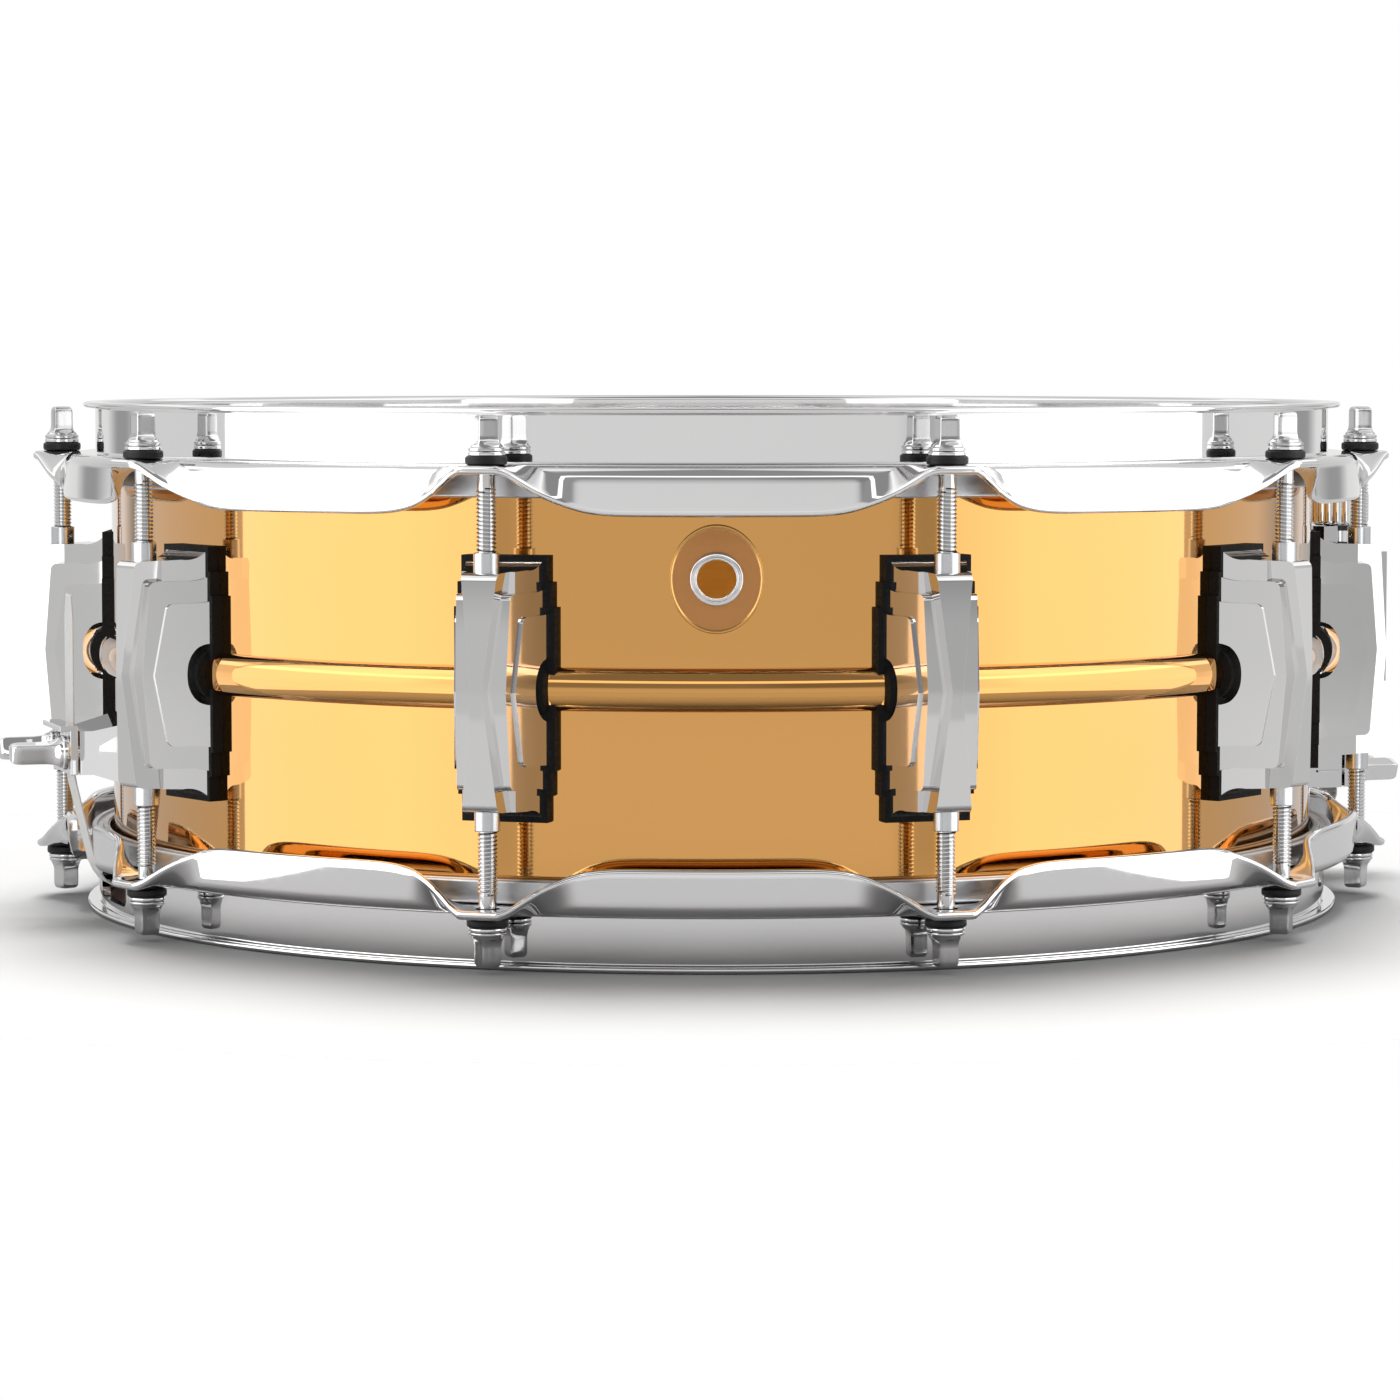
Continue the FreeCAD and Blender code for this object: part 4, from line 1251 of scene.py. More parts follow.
def round_the_rim(name: str, piece: bpy.types.Mesh, look: Look, nodes: Sequence[str]) -> None:
    """Stands one piece at every rod on both sides and hands the set over.

    Args:
        name: The set's name.
        piece: The piece, standing on the drum's axis at its own height on the batter side.
        look: The finish.
        nodes: The CAD nodes that the set stands for.
    """
    source = new_object(name + "_one", piece)
    smooth_by_angle(source, 40.0)
    mesh = grown(
        name,
        RIM_TREE,
        {
            "Piece": source,
            "Count": SIZES.lug_count,
            "Circle": SIZES.rod_circle * MM,
            "First": math.radians(SIZES.first_lug - 90.0),
            "Height": SIZES.height * MM,
            "Material": material_of(look),
        },
    )
    bpy.data.objects.remove(source)
    settle(new_object(name, mesh), "drum", nodes)


@dataclass
class KeyHead:
    """A square key head that runs out into a round flange."""

    square_half: float = 2.72
    corner_radius: float = 3.62
    tall: float = 9.4

    def mesh(self, name: str) -> bpy.types.Mesh:
        """The head, rising from z = 0.

        Args:
            name: The mesh's name.

        Returns:
            The closed mesh of the head.
        """
        half, corner_reach = self.square_half, self.corner_radius
        levels = [
            (0.0, 4.7, 9.0), (0.12, 4.9, 9.0), (0.3, 4.95, 9.0), (0.7, 4.95, 9.0),
            (0.9, 4.85, 9.0), (1.0, 4.55, 9.0), (1.12, 4.42, 9.0), (1.4, 4.34, 5.2),
            (1.75, 4.2, 4.0), (2.2, 4.0, half + 0.42), (2.8, 3.82, half + 0.14),
            (3.5, corner_reach + 0.06, half + 0.03), (4.2, corner_reach, half),
            (7.6, corner_reach, half), (8.3, corner_reach - 0.08, half - 0.04),
            (8.8, corner_reach - 0.28, half - 0.14), (9.15, corner_reach - 0.62, half - 0.4),
            (9.34, corner_reach - 1.1, half - 0.8), (self.tall, 1.4, 1.3),
        ]
        corner = math.degrees(math.acos(self.square_half / self.corner_radius))
        angles: list[float] = []
        for quarter in range(4):
            flat = [-corner, -corner * 0.6, -corner * 0.2, corner * 0.2, corner * 0.6, corner]
            nose = [corner + (90 - 2 * corner) * share for share in (0.33, 0.67)]
            angles += [90.0 * quarter + angle for angle in flat + nose]
        rings = []
        for height, limit, half in levels:
            ring = []
            for angle in angles:
                local = math.radians((angle + 45) % 90 - 45)
                radius = min(limit, half / math.cos(local))
                turn = math.radians(angle)
                ring.append((radius * math.cos(turn), radius * math.sin(turn), height))
            rings.append(ring)
        return ring_mesh(name, rings, False)


@dataclass
class TensionRods:
    """Twenty tension rods with rolled threads, and the washers under their heads."""

    seat: float = 135.9
    shank_radius: float = 2.35
    thread_core: float = 2.3
    thread_crest: float = 0.38
    pitch: float = 1.06
    thread_top: float = 126.2
    foot: float = 97.5
    key_turns: tuple[float, ...] = (-4.0, 44.0, 12.0, 71.0, 30.0, 8.0, 55.0, 20.0, 83.0, 38.0)
    low_key_turns: tuple[float, ...] = (2.0, 15.0, 60.0, 33.0, 78.0, 50.0, 5.0, 41.0, -6.0, 47.0)
    black_radius: float = 5.5
    steel_radius: float = 5.0
    bore: float = 2.6

    def rod(self) -> bpy.types.Mesh:
        """One batter rod on the drum's axis.

        Returns:
            The rod's mesh: key head, shank, core and wound thread, with the core's sides between the thread
            turns in painted shade.
        """
        turns = (self.thread_top - self.foot) / self.pitch
        ridge = grown(
            "ridge",
            SPIRAL_TREE,
            {
                "Radius": self.thread_core * MM,
                "Wire": self.thread_crest * MM,
                "Pitch": self.pitch * MM,
                "Turns": turns,
                "Steps": 24,
                "Sides": 4,
                "Material": material_of(Look.STEEL),
            },
        )
        core = lathe(
            "core",
            rounded(
                [
                    (0, self.foot - 0.4, 0),
                    (self.thread_core - 0.4, self.foot - 0.4, 0.2),
                    (self.thread_core, self.foot + 0.2, 0.1),
                    (self.thread_core, self.thread_top, 0.0),
                    (self.shank_radius, self.thread_top + 0.25, 0.1),
                    (self.shank_radius, self.seat + 0.4, 0),
                    (0, self.seat + 0.4, 0),
                ],
                3,
            ),
            40,
        )
        # The core's sides below the thread's top take the near-black painted shade of the thread's grooves.
        for face in core.polygons:
            flat = abs(face.normal.z) < 0.1
            face.material_index = int(flat and face.center.z < self.thread_top * MM)
        head = KeyHead().mesh("key_head")
        lift = Matrix.Translation((0, 0, self.foot * MM))
        seat = Matrix.Translation((0, 0, self.seat * MM))
        return joined(
            "tension_rod", [(ridge, lift), (core, Matrix.Identity(4)), (head, seat)]
        )

    def build(self) -> None:
        """Makes the rods and washers and hands them over."""
        rod = new_object("rod_source", self.rod())
        smooth_by_angle(rod, 42.0)
        out = Matrix.Translation((SIZES.rod_circle * MM, 0, 0))
        for index, bearing in enumerate(SIZES.lug_bearings(), start=1):
            for side, mirror, turns in (
                ("batter", Matrix.Identity(4), self.key_turns),
                ("snare", flip(), self.low_key_turns),
            ):
                node = f"{side}_rod_{index:02d}"
                spin = Matrix.Rotation(math.radians(turns[index - 1]), 4, "Z")
                place = mirror @ turn_to(bearing) @ out @ spin
                name = f"tension_rod_{side}_{index:02d}"
                obj = new_object(name, joined(name, [(rod.data, place)]))
                smooth_by_angle(obj, 42.0)
                dress(obj, Look.STEEL)
                # Second slot: the painted shade in the thread's grooves.
                obj.data.materials.append(material_of(Look.THREAD_ROOT))
                settle(obj, node, [node])
        bpy.data.objects.remove(rod)
        self.washers()

    def washers(self) -> None:
        """The steel and black washers under every key head."""
        shelf = SIZES.height - Hoop.shelf_low
        black = rounded(
            [
                (self.bore, shelf + 0.03, 0.2),
                (self.black_radius, shelf + 0.03, 0.8),
                (self.black_radius, shelf + 2.4, 0.7),
                (self.bore, shelf + 2.4, 0.2),
            ],
            5,
        )
        steel = rounded(
            [
                (self.bore, shelf + 2.43, 0.1),
                (self.steel_radius, shelf + 2.43, 0.35),
                (self.steel_radius, shelf + 3.5, 0.35),
                (self.bore, shelf + 3.5, 0.1),
            ],
            4,
        )
        round_the_rim(
            "black_washer_set", lathe("black", black, 48), Look.NYLON,
            ["rod_black_washers"],
        )
        round_the_rim(
            "steel_washer_set", lathe("steel", steel, 48), Look.CHROME,
            ["rod_steel_washers"],
        )


# ---- badge and vent --------------------------------------------------------------------------


@dataclass
class Badge:
    """A plain oval plate with a raised rim, bent to the shell, and its vent grommet."""

    half_wide: float = 12.3
    half_tall: float = 14.25
    plate: float = 0.55
    rim: float = 0.5
    rim_width: float = 0.8
    hole: float = 5.7
    ring_outer: float = 7.0
    bore: float = 5.05

    def wrap(self, across: float, up: float, lift: float) -> tuple[float, float, float]:
        """A point of the flat drawing laid on the shell's curve.

        Args:
            across: The point's distance from the vent's axis, sideways.
            up: The point's distance from the vent's axis, upwards.
            lift: Its height over the shell's face.

        Returns:
            The point on the shell, in millimetres.
        """
        radius = SIZES.shell_radius + lift
        turn = across / SIZES.shell_radius
        return (radius * math.cos(turn), radius * math.sin(turn), SIZES.vent_rise + up)

    def ring(self, share: float, lift: float) -> list[tuple[float, float, float]]:
        """One closed ring between the hole and the oval edge.

        Args:
            share: Where the ring lies, from 0 at the hole to 1 at the edge.
            lift: Its height over the shell's face.

        Returns:
            The ring's points on the shell.
        """
        points = []
        for step in range(128):
            turn = 2 * math.pi * step / 128
            inner = Vector((math.cos(turn), math.sin(turn))) * self.hole
            outer = Vector((math.cos(turn) * self.half_wide, math.sin(turn) * self.half_tall))
            place = inner.lerp(outer, share)
            points.append(self.wrap(place.x, place.y, lift))
        return points

    def plate_mesh(self) -> bpy.types.Mesh:
        """The oval plate with its raised, rounded rim.

        Returns:
            The plate's mesh.
        """
        top, rim = self.plate, self.plate + self.rim
        edge = 1 - self.rim_width / (self.half_wide - self.hole)
        line = [
            (0.0, 0.04), (0.0, top), (0.08, top), (0.5, top), (edge - 0.06, top),
            (edge, top + 0.06), (edge + 0.04, rim - 0.1), (edge + 0.08, rim), (0.97, rim),
            (0.99, rim - 0.12), (1.0, rim - 0.35), (1.0, 0.04), (0.5, 0.04),
        ]
        return ring_mesh("badge_plate", [self.ring(share, lift) for share, lift in line], True)

    def grommet_mesh(self) -> bpy.types.Mesh:
        """The flared grommet, turned about the vent's own axis and pointing outwards.

        Returns:
            The grommet's mesh.
        """
        inside = -3.0
        outline = rounded(
            [
                (self.bore, inside, 0.3),
                (self.ring_outer, inside, 0.4),
                (self.ring_outer, inside + 1.2, 0.3),
                (self.bore + 0.55, inside + 1.2, 0.1),
                (self.bore + 0.55, self.plate + 0.1, 0.1),
                (self.ring_outer, self.plate + 0.1, 0.25),
                (self.ring_outer, self.plate + 1.0, 0.45),
                (self.ring_outer - 0.75, self.plate + 1.25, 0.2),
                (self.ring_outer - 1.0, self.plate + 0.95, 0.2),
                (self.ring_outer - 1.25, self.plate + 1.6, 0.3),
                (self.bore + 0.1, self.plate + 1.5, 0.4),
                (self.bore, self.plate + 0.6, 0.3),
            ],
            4,
        )
        mesh = lathe("grommet", outline, 96)
        aim = Matrix.Translation((0, 0, SIZES.vent_rise * MM)) @ turn_to(0)
        out = Matrix.Translation((SIZES.shell_radius * MM, 0, 0))
        mesh.transform(aim @ out @ Matrix.Rotation(math.pi / 2, 4, "Y"))
        return mesh

    def build(self) -> None:
        """Makes the badge and the grommet and hands them over."""
        mesh = self.plate_mesh()
        mesh.transform(turn_to(0))
        plate = new_object("oval_badge", mesh)
        smooth_by_angle(plate, 45.0)
        plate.data.materials.clear()
        plate.data.materials.append(material_of(Look.BADGE))
        plate.data.materials.append(material_of(Look.BADGE_RIM))
        limit = (SIZES.shell_radius + self.plate + 0.03) * MM
        for face in plate.data.polygons:
            reach = math.hypot(face.center.x, face.center.y)
            face.material_index = 1 if reach > limit else 0
        settle(plate, "drum", ["badge"])
        grommet = new_object("vent_grommet_ring", self.grommet_mesh())
        smooth_by_angle(grommet, 45.0)
        dress(grommet, Look.CHROME)
        settle(grommet, "drum", ["vent_grommet"])


# ---- strainer, butt plate and snares ---------------------------------------------------------


@dataclass
class Strainer:
    """The throw-off on the right: casting, lever, slide, knob, carriage and clamp."""

    knob_axis: float = 205.7
    knob_radius: float = 9.2
    knob_low: float = 107.8
    knob_high: float = 119.0
    lobes: int = 18
    stud_low: float = 40.5
    stud_high: float = 100.2
    stud_radius: float = 2.05
    stem_high: float = 108.5
    stem_radius: float = 2.75
    thread_low: float = 41.5
    thread_crest: float = 0.45
    thread_pitch: float = 1.0
    thread_turns: float = 58.0
    collar_bore: float = 2.6
    collar_radius: float = 4.4
    collar_low: float = 106.1
    collar_high: float = 107.75

    def knob_mesh(self) -> bpy.types.Mesh:
        """The fluted knob, standing on its own axis.

        Returns:
            The knob's mesh.
        """
        low, high, radius = self.knob_low, self.knob_high, self.knob_radius
        levels = [
            (low, 5.0, 0.0), (low, radius - 1.8, 0.0), (low + 0.25, radius - 0.9, 0.2),
            (low + 0.8, radius - 0.3, 0.6), (low + 1.6, radius, 1.0),
            (high - 2.0, radius, 1.0), (high - 1.0, radius - 0.25, 0.8),
            (high - 0.35, radius - 0.8, 0.4), (high - 0.05, radius - 1.7, 0.1),
            (high, radius - 2.6, 0.0), (high, 3.0, 0.0),
        ]
        rings = []
        count = self.lobes * 10
        for height, reach, depth in levels:
            ring = []
            for step in range(count):
                turn = 2 * math.pi * step / count
                wave = abs(math.cos(turn * self.lobes / 2)) ** 0.75
                local = reach - depth * 0.85 * (1 - wave)
                ring.append((local * math.cos(turn), local * math.sin(turn), height))
            rings.append(ring)
        return ring_mesh("knob", rings, False)

    def stud_mesh(self) -> bpy.types.Mesh:
        """The knob's stem and threaded stud, with its wound thread.

        Returns:
            Both as one mesh.
        """
        low, high, top = self.stud_low, self.stud_high, self.stem_high
        thin, thick = self.stud_radius, self.stem_radius
        core = lathe(
            "stud",
            rounded(
                [
                    (0, low, 0), (thin - 0.25, low, 0.3), (thin, low + 0.7, 0.1),
                    (thin, high, 0.0), (thick, high + 0.1, 0.2), (thick, top, 0.1), (0, top, 0),
                ],
                3,
            ),
            40,
        )
        ridge = grown(
            "stud_ridge",
            SPIRAL_TREE,
            {
                "Radius": thin * MM, "Wire": self.thread_crest * MM,
                "Pitch": self.thread_pitch * MM, "Turns": self.thread_turns,
                "Steps": 20, "Sides": 4, "Material": material_of(Look.STEEL),
            },
        )
        start = Matrix.Translation((0, 0, self.thread_low * MM))
        return joined("stud", [(core, Matrix.Identity(4)), (ridge, start)])

    def collar_mesh(self) -> bpy.types.Mesh:
        """The dark collar under the knob.

        Returns:
            The collar's mesh.
        """
        bore, edge = self.collar_bore, self.collar_radius
        low, high = self.collar_low, self.collar_high
        corners = [(bore, low, 0.1), (edge, low, 0.3), (edge, high, 0.3), (bore, high, 0.1)]
        return lathe("collar", rounded(corners, 3), 48)

    def build(self) -> None:
        """Makes the throw-off's pieces and hands them over."""
        plan = (
            ("strainer_casting", "strainer_body", "drum", 0.9, Look.CHROME, "chrome"),
            ("strainer_lever_arm", "strainer_lever", "lever", 0.8, Look.CHROME, "chrome"),
            ("strainer_lever_pins", "lever_pins", "drum", 0.3, Look.STEEL, "rod_steel"),
            ("strainer_slide_block", "strainer_slide", "slide", 0.7, Look.CHROME, "chrome"),
            ("strainer_carriage", "clamp_carriage", "carriage", 0.6, Look.CHROME, "chrome"),
            ("strainer_clamp_bar", "strainer_clamp_plate", "carriage", 0.5, Look.CHROME, "chrome"),
            ("bracket_screw_set", "bracket_screws", "drum", 0.4, Look.ZINC, "inner_steel"),
        )
        for name, node, body, width, look, slot in plan:
            obj = cad_copy(name, [node], width, 30.0)
            smooth_by_angle(obj, 40.0)
            dress(obj, look)
            settle(obj, body, [node])
        out = turn_to(SIZES.gate_bearing) @ Matrix.Translation((self.knob_axis * MM, 0, 0))
        knob = new_object(
            "fine_tension_knob",
            joined("fine_tension_knob", [
                (self.knob_mesh(), out), (self.stud_mesh(), out), (self.collar_mesh(), out),
            ]),
        )
        smooth_by_angle(knob, 40.0)
        dress(knob, Look.CHROME)
        knob.data.materials.append(material_of(Look.DARK_METAL))
        low, high = (self.collar_low - 0.1) * MM, (self.collar_high + 0.03) * MM
        axis = out.translation
        for face in knob.data.polygons:
            reach = math.hypot(face.center.x - axis.x, face.center.y - axis.y)
            on_collar = low < face.center.z < high and reach > (self.collar_bore + 0.2) * MM
            face.material_index = 1 if on_collar else 0
        settle(knob, "knob", ["tension_knob"])


def clamp_screw_mesh(seat: float, tip: float, depth: float) -> bpy.types.Mesh:
    """A key-headed clamp screw on +X.

    Args:
        seat: Where its flange bears, in millimetres from the drum's axis.
        tip: Where its head ends.
        depth: Length of its shank behind the seat.

    Returns:
        The screw's mesh.
    """
    key = KeyHead()
    head = key.mesh("clamp_head")
    stretch = (tip - seat) / key.tall
    shank = lathe(
        "clamp_shank",
        rounded([(0, -depth, 0), (2.0, -depth, 0.3), (2.0, 0.4, 0), (0, 0.4, 0)], 3), 32,
    )
    aim = Matrix.Translation((seat * MM, 0, 0)) @ Matrix.Rotation(math.pi / 2, 4, "Y")
    longer = Matrix.Diagonal((1.0, 1.0, stretch, 1.0))
    return joined("clamp_screw", [(head, aim @ longer), (shank, aim)])


@dataclass
class ButtPlate:
    """The fixed snare anchor on the left, and the clamp screws of both ends."""

    screw_gap: float = 9.3
    rise: float = 48.2

    def build(self) -> None:
        """Makes the butt plate's pieces and both pairs of clamp screws."""
        for name, node, width in (
            ("butt_casting", "butt_body", 1.0),
            ("butt_clamp_bar", "butt_clamp_plate", 0.5),
        ):
            obj = cad_copy(name, [node], width, 30.0)
            smooth_by_angle(obj, 40.0)
            dress(obj, Look.CHROME)
            settle(obj, "drum", [node])
        pairs = (
            ("butt_key_screws", "butt_clamp_screws", "drum", SIZES.gate_bearing - 180,
             195.47, 212.0, 9.0, self.screw_gap, self.rise),
            ("strainer_key_screws", "strainer_clamp_screws", "carriage", SIZES.gate_bearing,
             205.87, 222.0, 11.2, 8.0, 32.0),
        )
        for name, node, body, bearing, seat, tip, depth, gap, rise in pairs:
            screw = clamp_screw_mesh(seat, tip, depth)
            parts = []
            for across, spin in ((-gap, 20.0), (gap, -8.0)):
                place = turn_to(bearing) @ Matrix.Translation((0, across * MM, rise * MM))
                roll = Matrix.Rotation(math.radians(spin), 4, "X")
                parts.append((screw, place @ roll))
            obj = new_object(name, joined(name, parts))
            smooth_by_angle(obj, 42.0)
            dress(obj, Look.CHROME)
            settle(obj, body, [node])


@dataclass
class Snares:
    """The coiled wires, their end plates and the two straps."""

    count: int = 20
    pitch: float = 2.15
    rise: float = 8.0
    coil_radius: float = 0.68
    wire: float = 0.22
    turn_pitch: float = 1.9
    half_length: float = 150.0
    strap_half: float = 6.0
    strap_thick: float = 0.4

    def build(self) -> None:
        """Makes the snare set and hands it over."""
        turns = 2 * self.half_length / self.turn_pitch
        coil = grown(
            "coil",
            SPIRAL_TREE,
            {
                "Radius": self.coil_radius * MM, "Wire": self.wire * MM,
                "Pitch": self.turn_pitch * MM, "Turns": turns, "Steps": 7, "Sides": 4,
                "Material": material_of(Look.SNARE),
            },
        )
        coil.transform(
            Matrix.Translation((-self.half_length * MM, 0, self.rise * MM))
            @ Matrix.Rotation(math.pi / 2, 4, "Y")
        )
        source = new_object("coil_one", coil)
        mesh = grown(
            "snare_wire_set",
            ROW_TREE,
            {
                "Piece": source, "Count": self.count, "Pitch": self.pitch * MM,
                "Material": material_of(Look.SNARE),
            },
        )
        bpy.data.objects.remove(source)
        mesh.transform(turn_to(SIZES.gate_bearing))
        wires = new_object("snare_wire_set", mesh)
        wires.data.shade_smooth()
        settle(wires, "snares", ["snare_wires"])
        plates = cad_copy("snare_wire_plates", ["snare_end_plates"], 0.25, 40.0)
        smooth_by_angle(plates, 40.0)
        dress(plates, Look.SNARE)
        settle(plates, "snares", ["snare_end_plates"])
        self.straps()

    def strip(self, name: str, route: Sequence[Point], bearing: float, cap: bool) -> bpy.types.Object:
        """A flat strip that follows a route from its lower end to its upper end.

        Args:
            name: The piece's name.
            route: Points of (outwards, up) in millimetres.
            bearing: The bearing that the strip lies on.
            cap: True rounds the corners of the last end.

        Returns:
            The strip's object.
        """
        places: list[Vector] = []
        for start, end in zip(route, route[1:]):
            for share in range(8):
                places.append(Vector(start).lerp(Vector(end), share / 8))
        places.append(Vector(route[-1]))
        half = self.strap_thick / 2
        rings = []
        run = 0.0
        total = sum((b - a).length for a, b in zip(places, places[1:]))
        for index, place in enumerate(places):
            before = places[max(index - 1, 0)]
            after = places[min(index + 1, len(places) - 1)]
            if index:
                run += (place - places[index - 1]).length
            heading = (after - before).normalized()
            side = Vector((-heading.y, heading.x)) * half
            wide = self.strap_half
            left = total - run
            if cap and left < self.strap_half * 0.5:
                share = left / (self.strap_half * 0.5)
                wide = self.strap_half * (0.62 + 0.38 * math.sqrt(1 - (1 - share) ** 2))
            outer, inner = place + side, place - side
            rings.append([
                (outer.x, -wide, outer.y), (outer.x, -wide * 0.3, outer.y),
                (outer.x, wide * 0.3, outer.y), (outer.x, wide, outer.y),
                (inner.x, wide, inner.y), (inner.x, wide * 0.3, inner.y),
                (inner.x, -wide * 0.3, inner.y), (inner.x, -wide, inner.y),
            ])
        mesh = ring_mesh(name, rings, False)
        mesh.transform(turn_to(bearing))
        obj = new_object(name, mesh)
        smooth_by_angle(obj, 60.0)
        dress(obj, Look.STRAP)
        return obj

    def straps(self) -> None:
        """The straps: each is split at its gate, where it leaves the drum's own body."""
        gate, far = SIZES.gate_bearing, SIZES.gate_bearing - 180
        wires_end: list[Point] = [
            (self.half_length + 2, 7.32), (165.0, 7.7), (172.0, 8.0), (176.5, 8.3), (179.5, 8.7),
            (182.0, 9.4), (183.8, 10.6),
        ]
        upper_throw: list[Point] = [
            (183.8, 10.6), (185.8, 12.2), (188.0, 13.7), (195.0, 17.9), (200.6, 21.3),
            (202.4, 22.7), (203.0, 24.3), (203.0, 38.0),
        ]
        upper_butt: list[Point] = [
            (183.8, 10.6), (185.4, 12.6), (187.0, 16.0), (190.0, 28.5), (192.4, 38.8),
            (193.0, 42.4), (193.0, 92.6),
        ]
        for side, bearing, upper, anchor, node in (
            ("strainer", gate, upper_throw, "slide", "strainer_strap"),
            ("butt", far, upper_butt, "drum", "butt_strap"),
        ):
            lower = self.strip(f"{side}_strap_lower", wires_end, bearing, False)
            high = self.strip(f"{side}_strap_upper", upper, bearing, side == "butt")
            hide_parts(node)
            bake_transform(lower)
            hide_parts(node)
            if anchor == "slide":
                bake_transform(high)
            else:
                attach(high, "drum")
            LOG.info("%s strap stands for %s", side, node)


# ---- studio ----------------------------------------------------------------------------------


@dataclass
class Studio:
    """A white table, a soft surround with dark edges, and the camera."""

    floor_radius: float = 0.34
    # Painted shade: the table's colour where glossy parts reflect it, darker than where the camera sees it,
    # so the table's reflection in the chrome is darker.
    reflected_floor_shade: tuple[float, float, float] = (0.24, 0.24, 0.24)
    overhead_strength: float = 6.5
    overhead_spread: float = 0.6
    overhead_lean: float = -22.0
    camera_place: tuple[float, float, float] = (-0.0034, -1.402, 0.1615)
    camera_pitch: float = -4.226
    camera_lens: float = 121.2
    drum_turn: float = 0.295
    panel_reach: float = 0.25
    panel_near: float = -0.385
    panel_far: float = -0.105
    panel_low: float = -0.04
    panel_high: float = 0.42
    panel_glow: tuple[float, float] = (1.14, 1.1)
    deep_belt: tuple[Point, ...] = (
        (-180, 0.7), (-130, 0.6), (-60, 0.75), (-40, 0.74), (38, 0.74), (60, 0.75), (130, 0.6),
        (180, 0.7),
    )
    low_belt: tuple[Point, ...] = (
        (-180, 0.7), (-128, 0.6), (-60, 0.75), (-46, 0.62), (-37, 0.66), (-33, 0.86), (33, 0.86),
        (37, 0.62), (46, 0.56), (60, 0.75), (130, 0.6), (180, 0.7),
    )
    horizon_belt: tuple[Point, ...] = (
        (-180, 0.85), (-150, 0.8), (-143, 0.35), (-137, 0.35), (-130, 0.75), (-60, 0.75),
        (-46, 0.62), (-38, 0.62), (-33, 0.78), (33, 0.76), (38, 0.50), (46, 0.48), (60, 0.75),
        (124, 0.8), (137, 0.35), (143, 0.35), (150, 0.8), (180, 0.85),
    )
    rising_belt: tuple[Point, ...] = (
        (-180, 0.8), (-125, 0.6), (-60, 0.9), (-45, 0.38), (-20, 0.34), (5, 0.34), (15, 0.26),
        (42, 0.28), (60, 0.9), (125, 0.6), (180, 0.8),
    )
    bright_belt: tuple[Point, ...] = ((-180, 0.9), (-90, 1.6), (0, 1.6), (90, 1.6), (180, 0.9))
    dome_belt: tuple[Point, ...] = (
        (-180, 0.62), (-120, 0.75), (-70, 1.2), (-35, 0.3), (0, 0.3), (35, 0.3), (70, 1.2),
        (120, 0.75), (180, 0.62),
    )

    def ramp(self, tree: bpy.types.NodeTree, stops: Sequence[Point], low: float, high: float) -> Node:
        """A colour ramp over an angle range.

        Args:
            tree: The world's node tree.
            stops: Pairs of (degrees, strength).
            low: Angle at the ramp's start.
            high: Angle at the ramp's end.

        Returns:
            The ramp node; its strengths are halved to stay in its range.
        """
        node = tree.nodes.new("ShaderNodeValToRGB")
        elements = node.color_ramp.elements
        while len(elements) > 1:
            elements.remove(elements[-1])
        for index, (angle, strength) in enumerate(stops):
            place = (angle - low) / (high - low)
            element = elements[0] if index == 0 else elements.new(place)
            element.position = place
            element.color = (strength / 2, strength / 2, strength / 2, 1.0)
        return node

    def surround(self) -> None:
        """Lights the drum from a soft surround; the camera itself sees plain white."""
        world = bpy.data.worlds.new("soft_studio")
        bpy.context.scene.world = world
        world.use_nodes = True
        tree = world.node_tree
        tree.nodes.clear()

        def add(kind: str, **settings: object) -> Node:
            """Adds a world node.

            Args:
                kind: The node's type.
                **settings: The node's own settings.

            Returns:
                The new node.
            """
            node = tree.nodes.new(kind)
            for key, value in settings.items():
                setattr(node, key, value)
            return node

        def sum_of(operation: str, first: object, second: object) -> Socket:
            """A sum on sockets or numbers.

            Args:
                operation: The sum's name.
                first: The first number or socket.
                second: The second number or socket.

            Returns:
                The result's socket.
            """
            node = add("ShaderNodeMath", operation=operation)
            for socket, value in zip(node.inputs, (first, second)):
                if isinstance(value, Socket):
                    tree.links.new(value, socket)
                else:
                    socket.default_value = value
            return node.outputs[0]

        def eased(source: Socket, low: float, high: float) -> Socket:
            """A smooth 0-1 step of an angle.

            Args:
                source: The angle, in radians.
                low: Where the step starts, in degrees.
                high: Where it ends, in degrees.

            Returns:
                The step's socket.
            """
            node = add("ShaderNodeMapRange", interpolation_type="SMOOTHSTEP")
            tree.links.new(source, node.inputs["Value"])
            node.inputs["From Min"].default_value = math.radians(low)
            node.inputs["From Max"].default_value = math.radians(high)
            return node.outputs["Result"]

        place = add("ShaderNodeTexCoord")
        split = add("ShaderNodeSeparateXYZ")
        tree.links.new(place.outputs["Generated"], split.inputs["Vector"])
        back = sum_of("MULTIPLY", split.outputs["Y"], -1.0)
        azimuth = sum_of("ARCTAN2", split.outputs["X"], back)
        around = sum_of("ADD", sum_of("DIVIDE", azimuth, 2 * math.pi), 0.5)
        climb = add("ShaderNodeMath", operation="ARCSINE")
        tree.links.new(split.outputs["Z"], climb.inputs[0])
        rise = climb.outputs[0]

        def belt(stops: Sequence[Point]) -> Socket:
            """The strength of one belt of the surround.

            Args:
                stops: Pairs of (degrees, strength).

            Returns:
                The strength's socket.
            """
            ramp = self.ramp(tree, stops, -180, 180)
            tree.links.new(around, ramp.inputs["Fac"])
            return ramp.outputs["Color"]

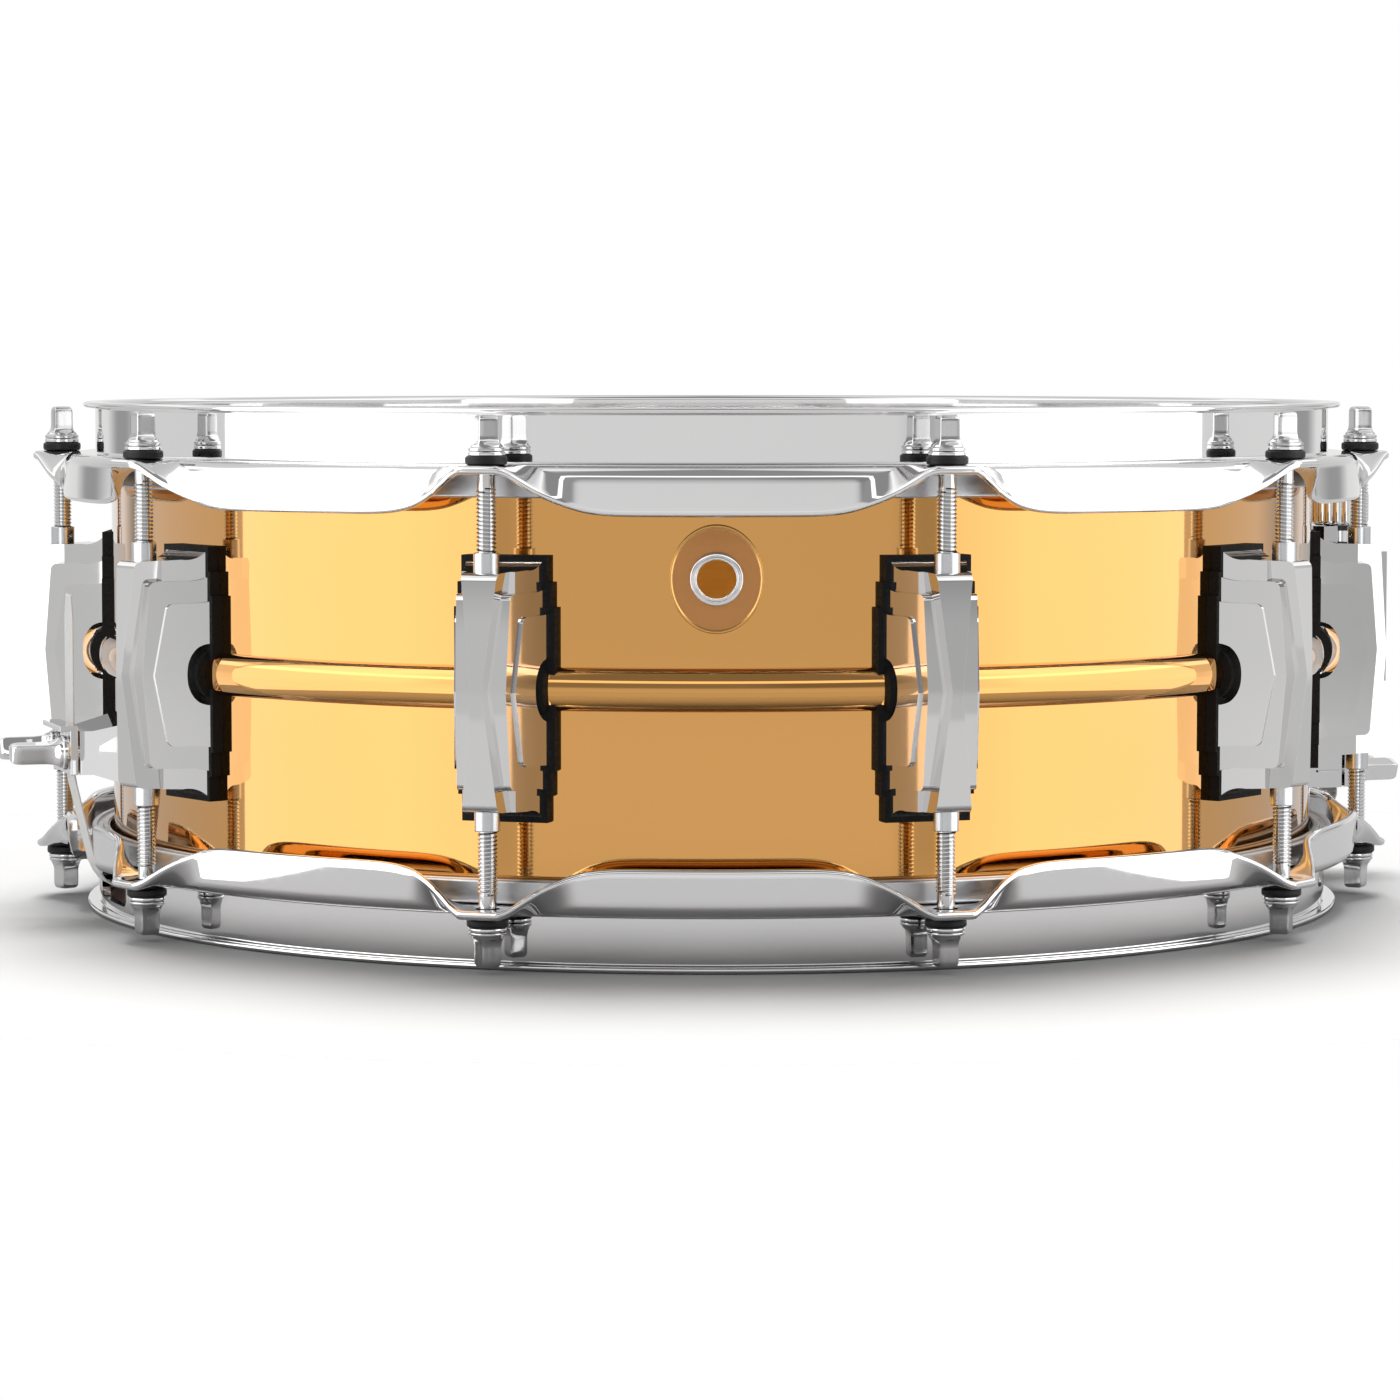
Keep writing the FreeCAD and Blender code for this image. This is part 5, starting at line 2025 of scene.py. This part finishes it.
        def blend(factor: Socket, first: Socket, second: Socket) -> Socket:
            """A plain mix of two strengths.

            Args:
                factor: The share of the second.
                first: The strength where the factor is 0.
                second: The strength where the factor is 1.

            Returns:
                The mixed strength's socket.
            """
            node = add("ShaderNodeMix", data_type="FLOAT")
            tree.links.new(factor, node.inputs["Factor"])
            tree.links.new(first, node.inputs["A"])
            tree.links.new(second, node.inputs["B"])
            return node.outputs["Result"]

        whole = belt(self.deep_belt)
        for low, high, stops in (
            (-6.7, -6.2, self.low_belt),
            (-4.6, -3.6, self.horizon_belt),
            (1.5, 9.0, self.rising_belt),
            (22.0, 24.0, self.bright_belt),
            (31.0, 34.0, self.dome_belt),
        ):
            whole = blend(eased(rise, low, high), whole, belt(stops))
        strength = sum_of("MULTIPLY", whole, 2.0)
        path = add("ShaderNodeLightPath")
        studio = add("ShaderNodeBackground")
        white = add("ShaderNodeBackground")
        white.inputs["Color"].default_value = (1.0, 1.0, 1.0, 1.0)
        studio.inputs["Color"].default_value = (1.0, 0.995, 0.99, 1.0)
        tree.links.new(strength, studio.inputs["Strength"])
        mix = add("ShaderNodeMixShader")
        tree.links.new(path.outputs["Is Camera Ray"], mix.inputs["Fac"])
        tree.links.new(studio.outputs["Background"], mix.inputs[1])
        tree.links.new(white.outputs["Background"], mix.inputs[2])
        out = add("ShaderNodeOutputWorld")
        tree.links.new(mix.outputs["Shader"], out.inputs["Surface"])

    def floor(self) -> None:
        """A round, pale table under the drum."""
        steps = 96
        points = []
        for step in range(steps):
            turn = 2 * math.pi * step / steps
            radius = self.floor_radius / MM
            points.append((radius * math.cos(turn), radius * math.sin(turn), -0.15))
        obj = new_object("table", mesh_from("table", points, [tuple(range(steps))]))
        material = bpy.data.materials.new("white_table")
        material.use_nodes = True
        desk = NodeDesk(material)
        shader = material.node_tree.nodes["Principled BSDF"]
        shader.inputs["Roughness"].default_value = 0.9
        shader.inputs["Specular IOR Level"].default_value = 0.1
        cloud = desk.pattern((1.0, 1.0, 1.0), 2.0, 8.0)
        pale = desk.mixed(cloud, (0.385, 0.385, 0.385), (0.395, 0.395, 0.395))
        # Painted reflection shade: glossy rays see the table in the darker colour, so its reflection in the
        # metal parts is painted darker than its lighting makes it.
        path = desk.add("ShaderNodeLightPath")
        shade = desk.mixed(path.outputs["Is Glossy Ray"], (0.9, 0.9, 0.9), self.reflected_floor_shade)
        # The pale cloud takes the place of the first colour.
        first = next(socket for socket in shade.node.inputs if socket.type == "RGBA")
        desk.link(pale, first)
        desk.link(shade, shader.inputs["Base Color"])
        obj.data.materials.append(material)

    def overhead(self) -> None:
        """A broad lamp above and behind: it lights matt things, and so keeps the table pale."""
        data = bpy.data.lights.new("overhead", "SUN")
        data.energy = self.overhead_strength
        data.angle = self.overhead_spread
        obj = bpy.data.objects.new("overhead", data)
        obj.visible_glossy = False
        obj.matrix_world = Matrix.Rotation(math.radians(self.overhead_lean), 4, "X")
        bpy.context.scene.collection.objects.link(obj)

    def panels(self) -> None:
        """Two tall soft panels, one on each side, out of the camera's view."""
        tall = self.panel_high - self.panel_low
        deep = self.panel_far - self.panel_near
        for side, glow in zip((-1, 1), self.panel_glow):
            data = bpy.data.lights.new("side_panel", "AREA")
            data.shape = "RECTANGLE"
            data.size, data.size_y = deep, tall
            data.energy = glow * math.pi * tall * deep
            obj = bpy.data.objects.new("side_panel", data)
            obj.visible_camera = False
            obj.visible_diffuse = False
            facing = Matrix.Rotation(side * math.pi / 2, 4, "Z") @ Matrix.Rotation(
                math.pi / 2, 4, "X"
            )
            middle = (
                side * self.panel_reach,
                (self.panel_far + self.panel_near) / 2,
                (self.panel_high + self.panel_low) / 2,
            )
            obj.matrix_world = Matrix.Translation(middle) @ facing
            bpy.context.scene.collection.objects.link(obj)

    def camera(self) -> None:
        """Places the camera that looks at the drum's front."""
        data = bpy.data.cameras.new("camera")
        data.lens = self.camera_lens
        data.sensor_width = 36.0
        data.clip_start = 0.01
        obj = bpy.data.objects.new("camera", data)
        bpy.context.scene.collection.objects.link(obj)
        turn = Matrix.Rotation(math.radians(-self.drum_turn), 4, "Z")
        tilt = Matrix.Rotation(math.radians(90.0 + self.camera_pitch), 4, "X")
        obj.matrix_world = turn @ Matrix.Translation(self.camera_place) @ tilt
        bpy.context.scene.camera = obj

    def build(self) -> None:
        """Sets the studio up."""
        self.surround()
        self.floor()
        self.overhead()
        self.panels()
        self.camera()
        bpy.context.scene.view_settings.view_transform = "Standard"
        bpy.context.scene.view_settings.look = "None"


SPIRAL_TREE = spiral_tree()
RIM_TREE = rim_tree()
ROW_TREE = row_tree()


def main() -> None:
    """Builds the drum and its studio."""
    logging.basicConfig(level=logging.INFO, format="%(message)s")
    for part in (
        Studio(), Shell(), Hoop(), Heads(), Lugs(), TensionRods(), Badge(), Strainer(),
        ButtPlate(), Snares(),
    ):
        part.build()


if __name__ == "__main__":
    main()
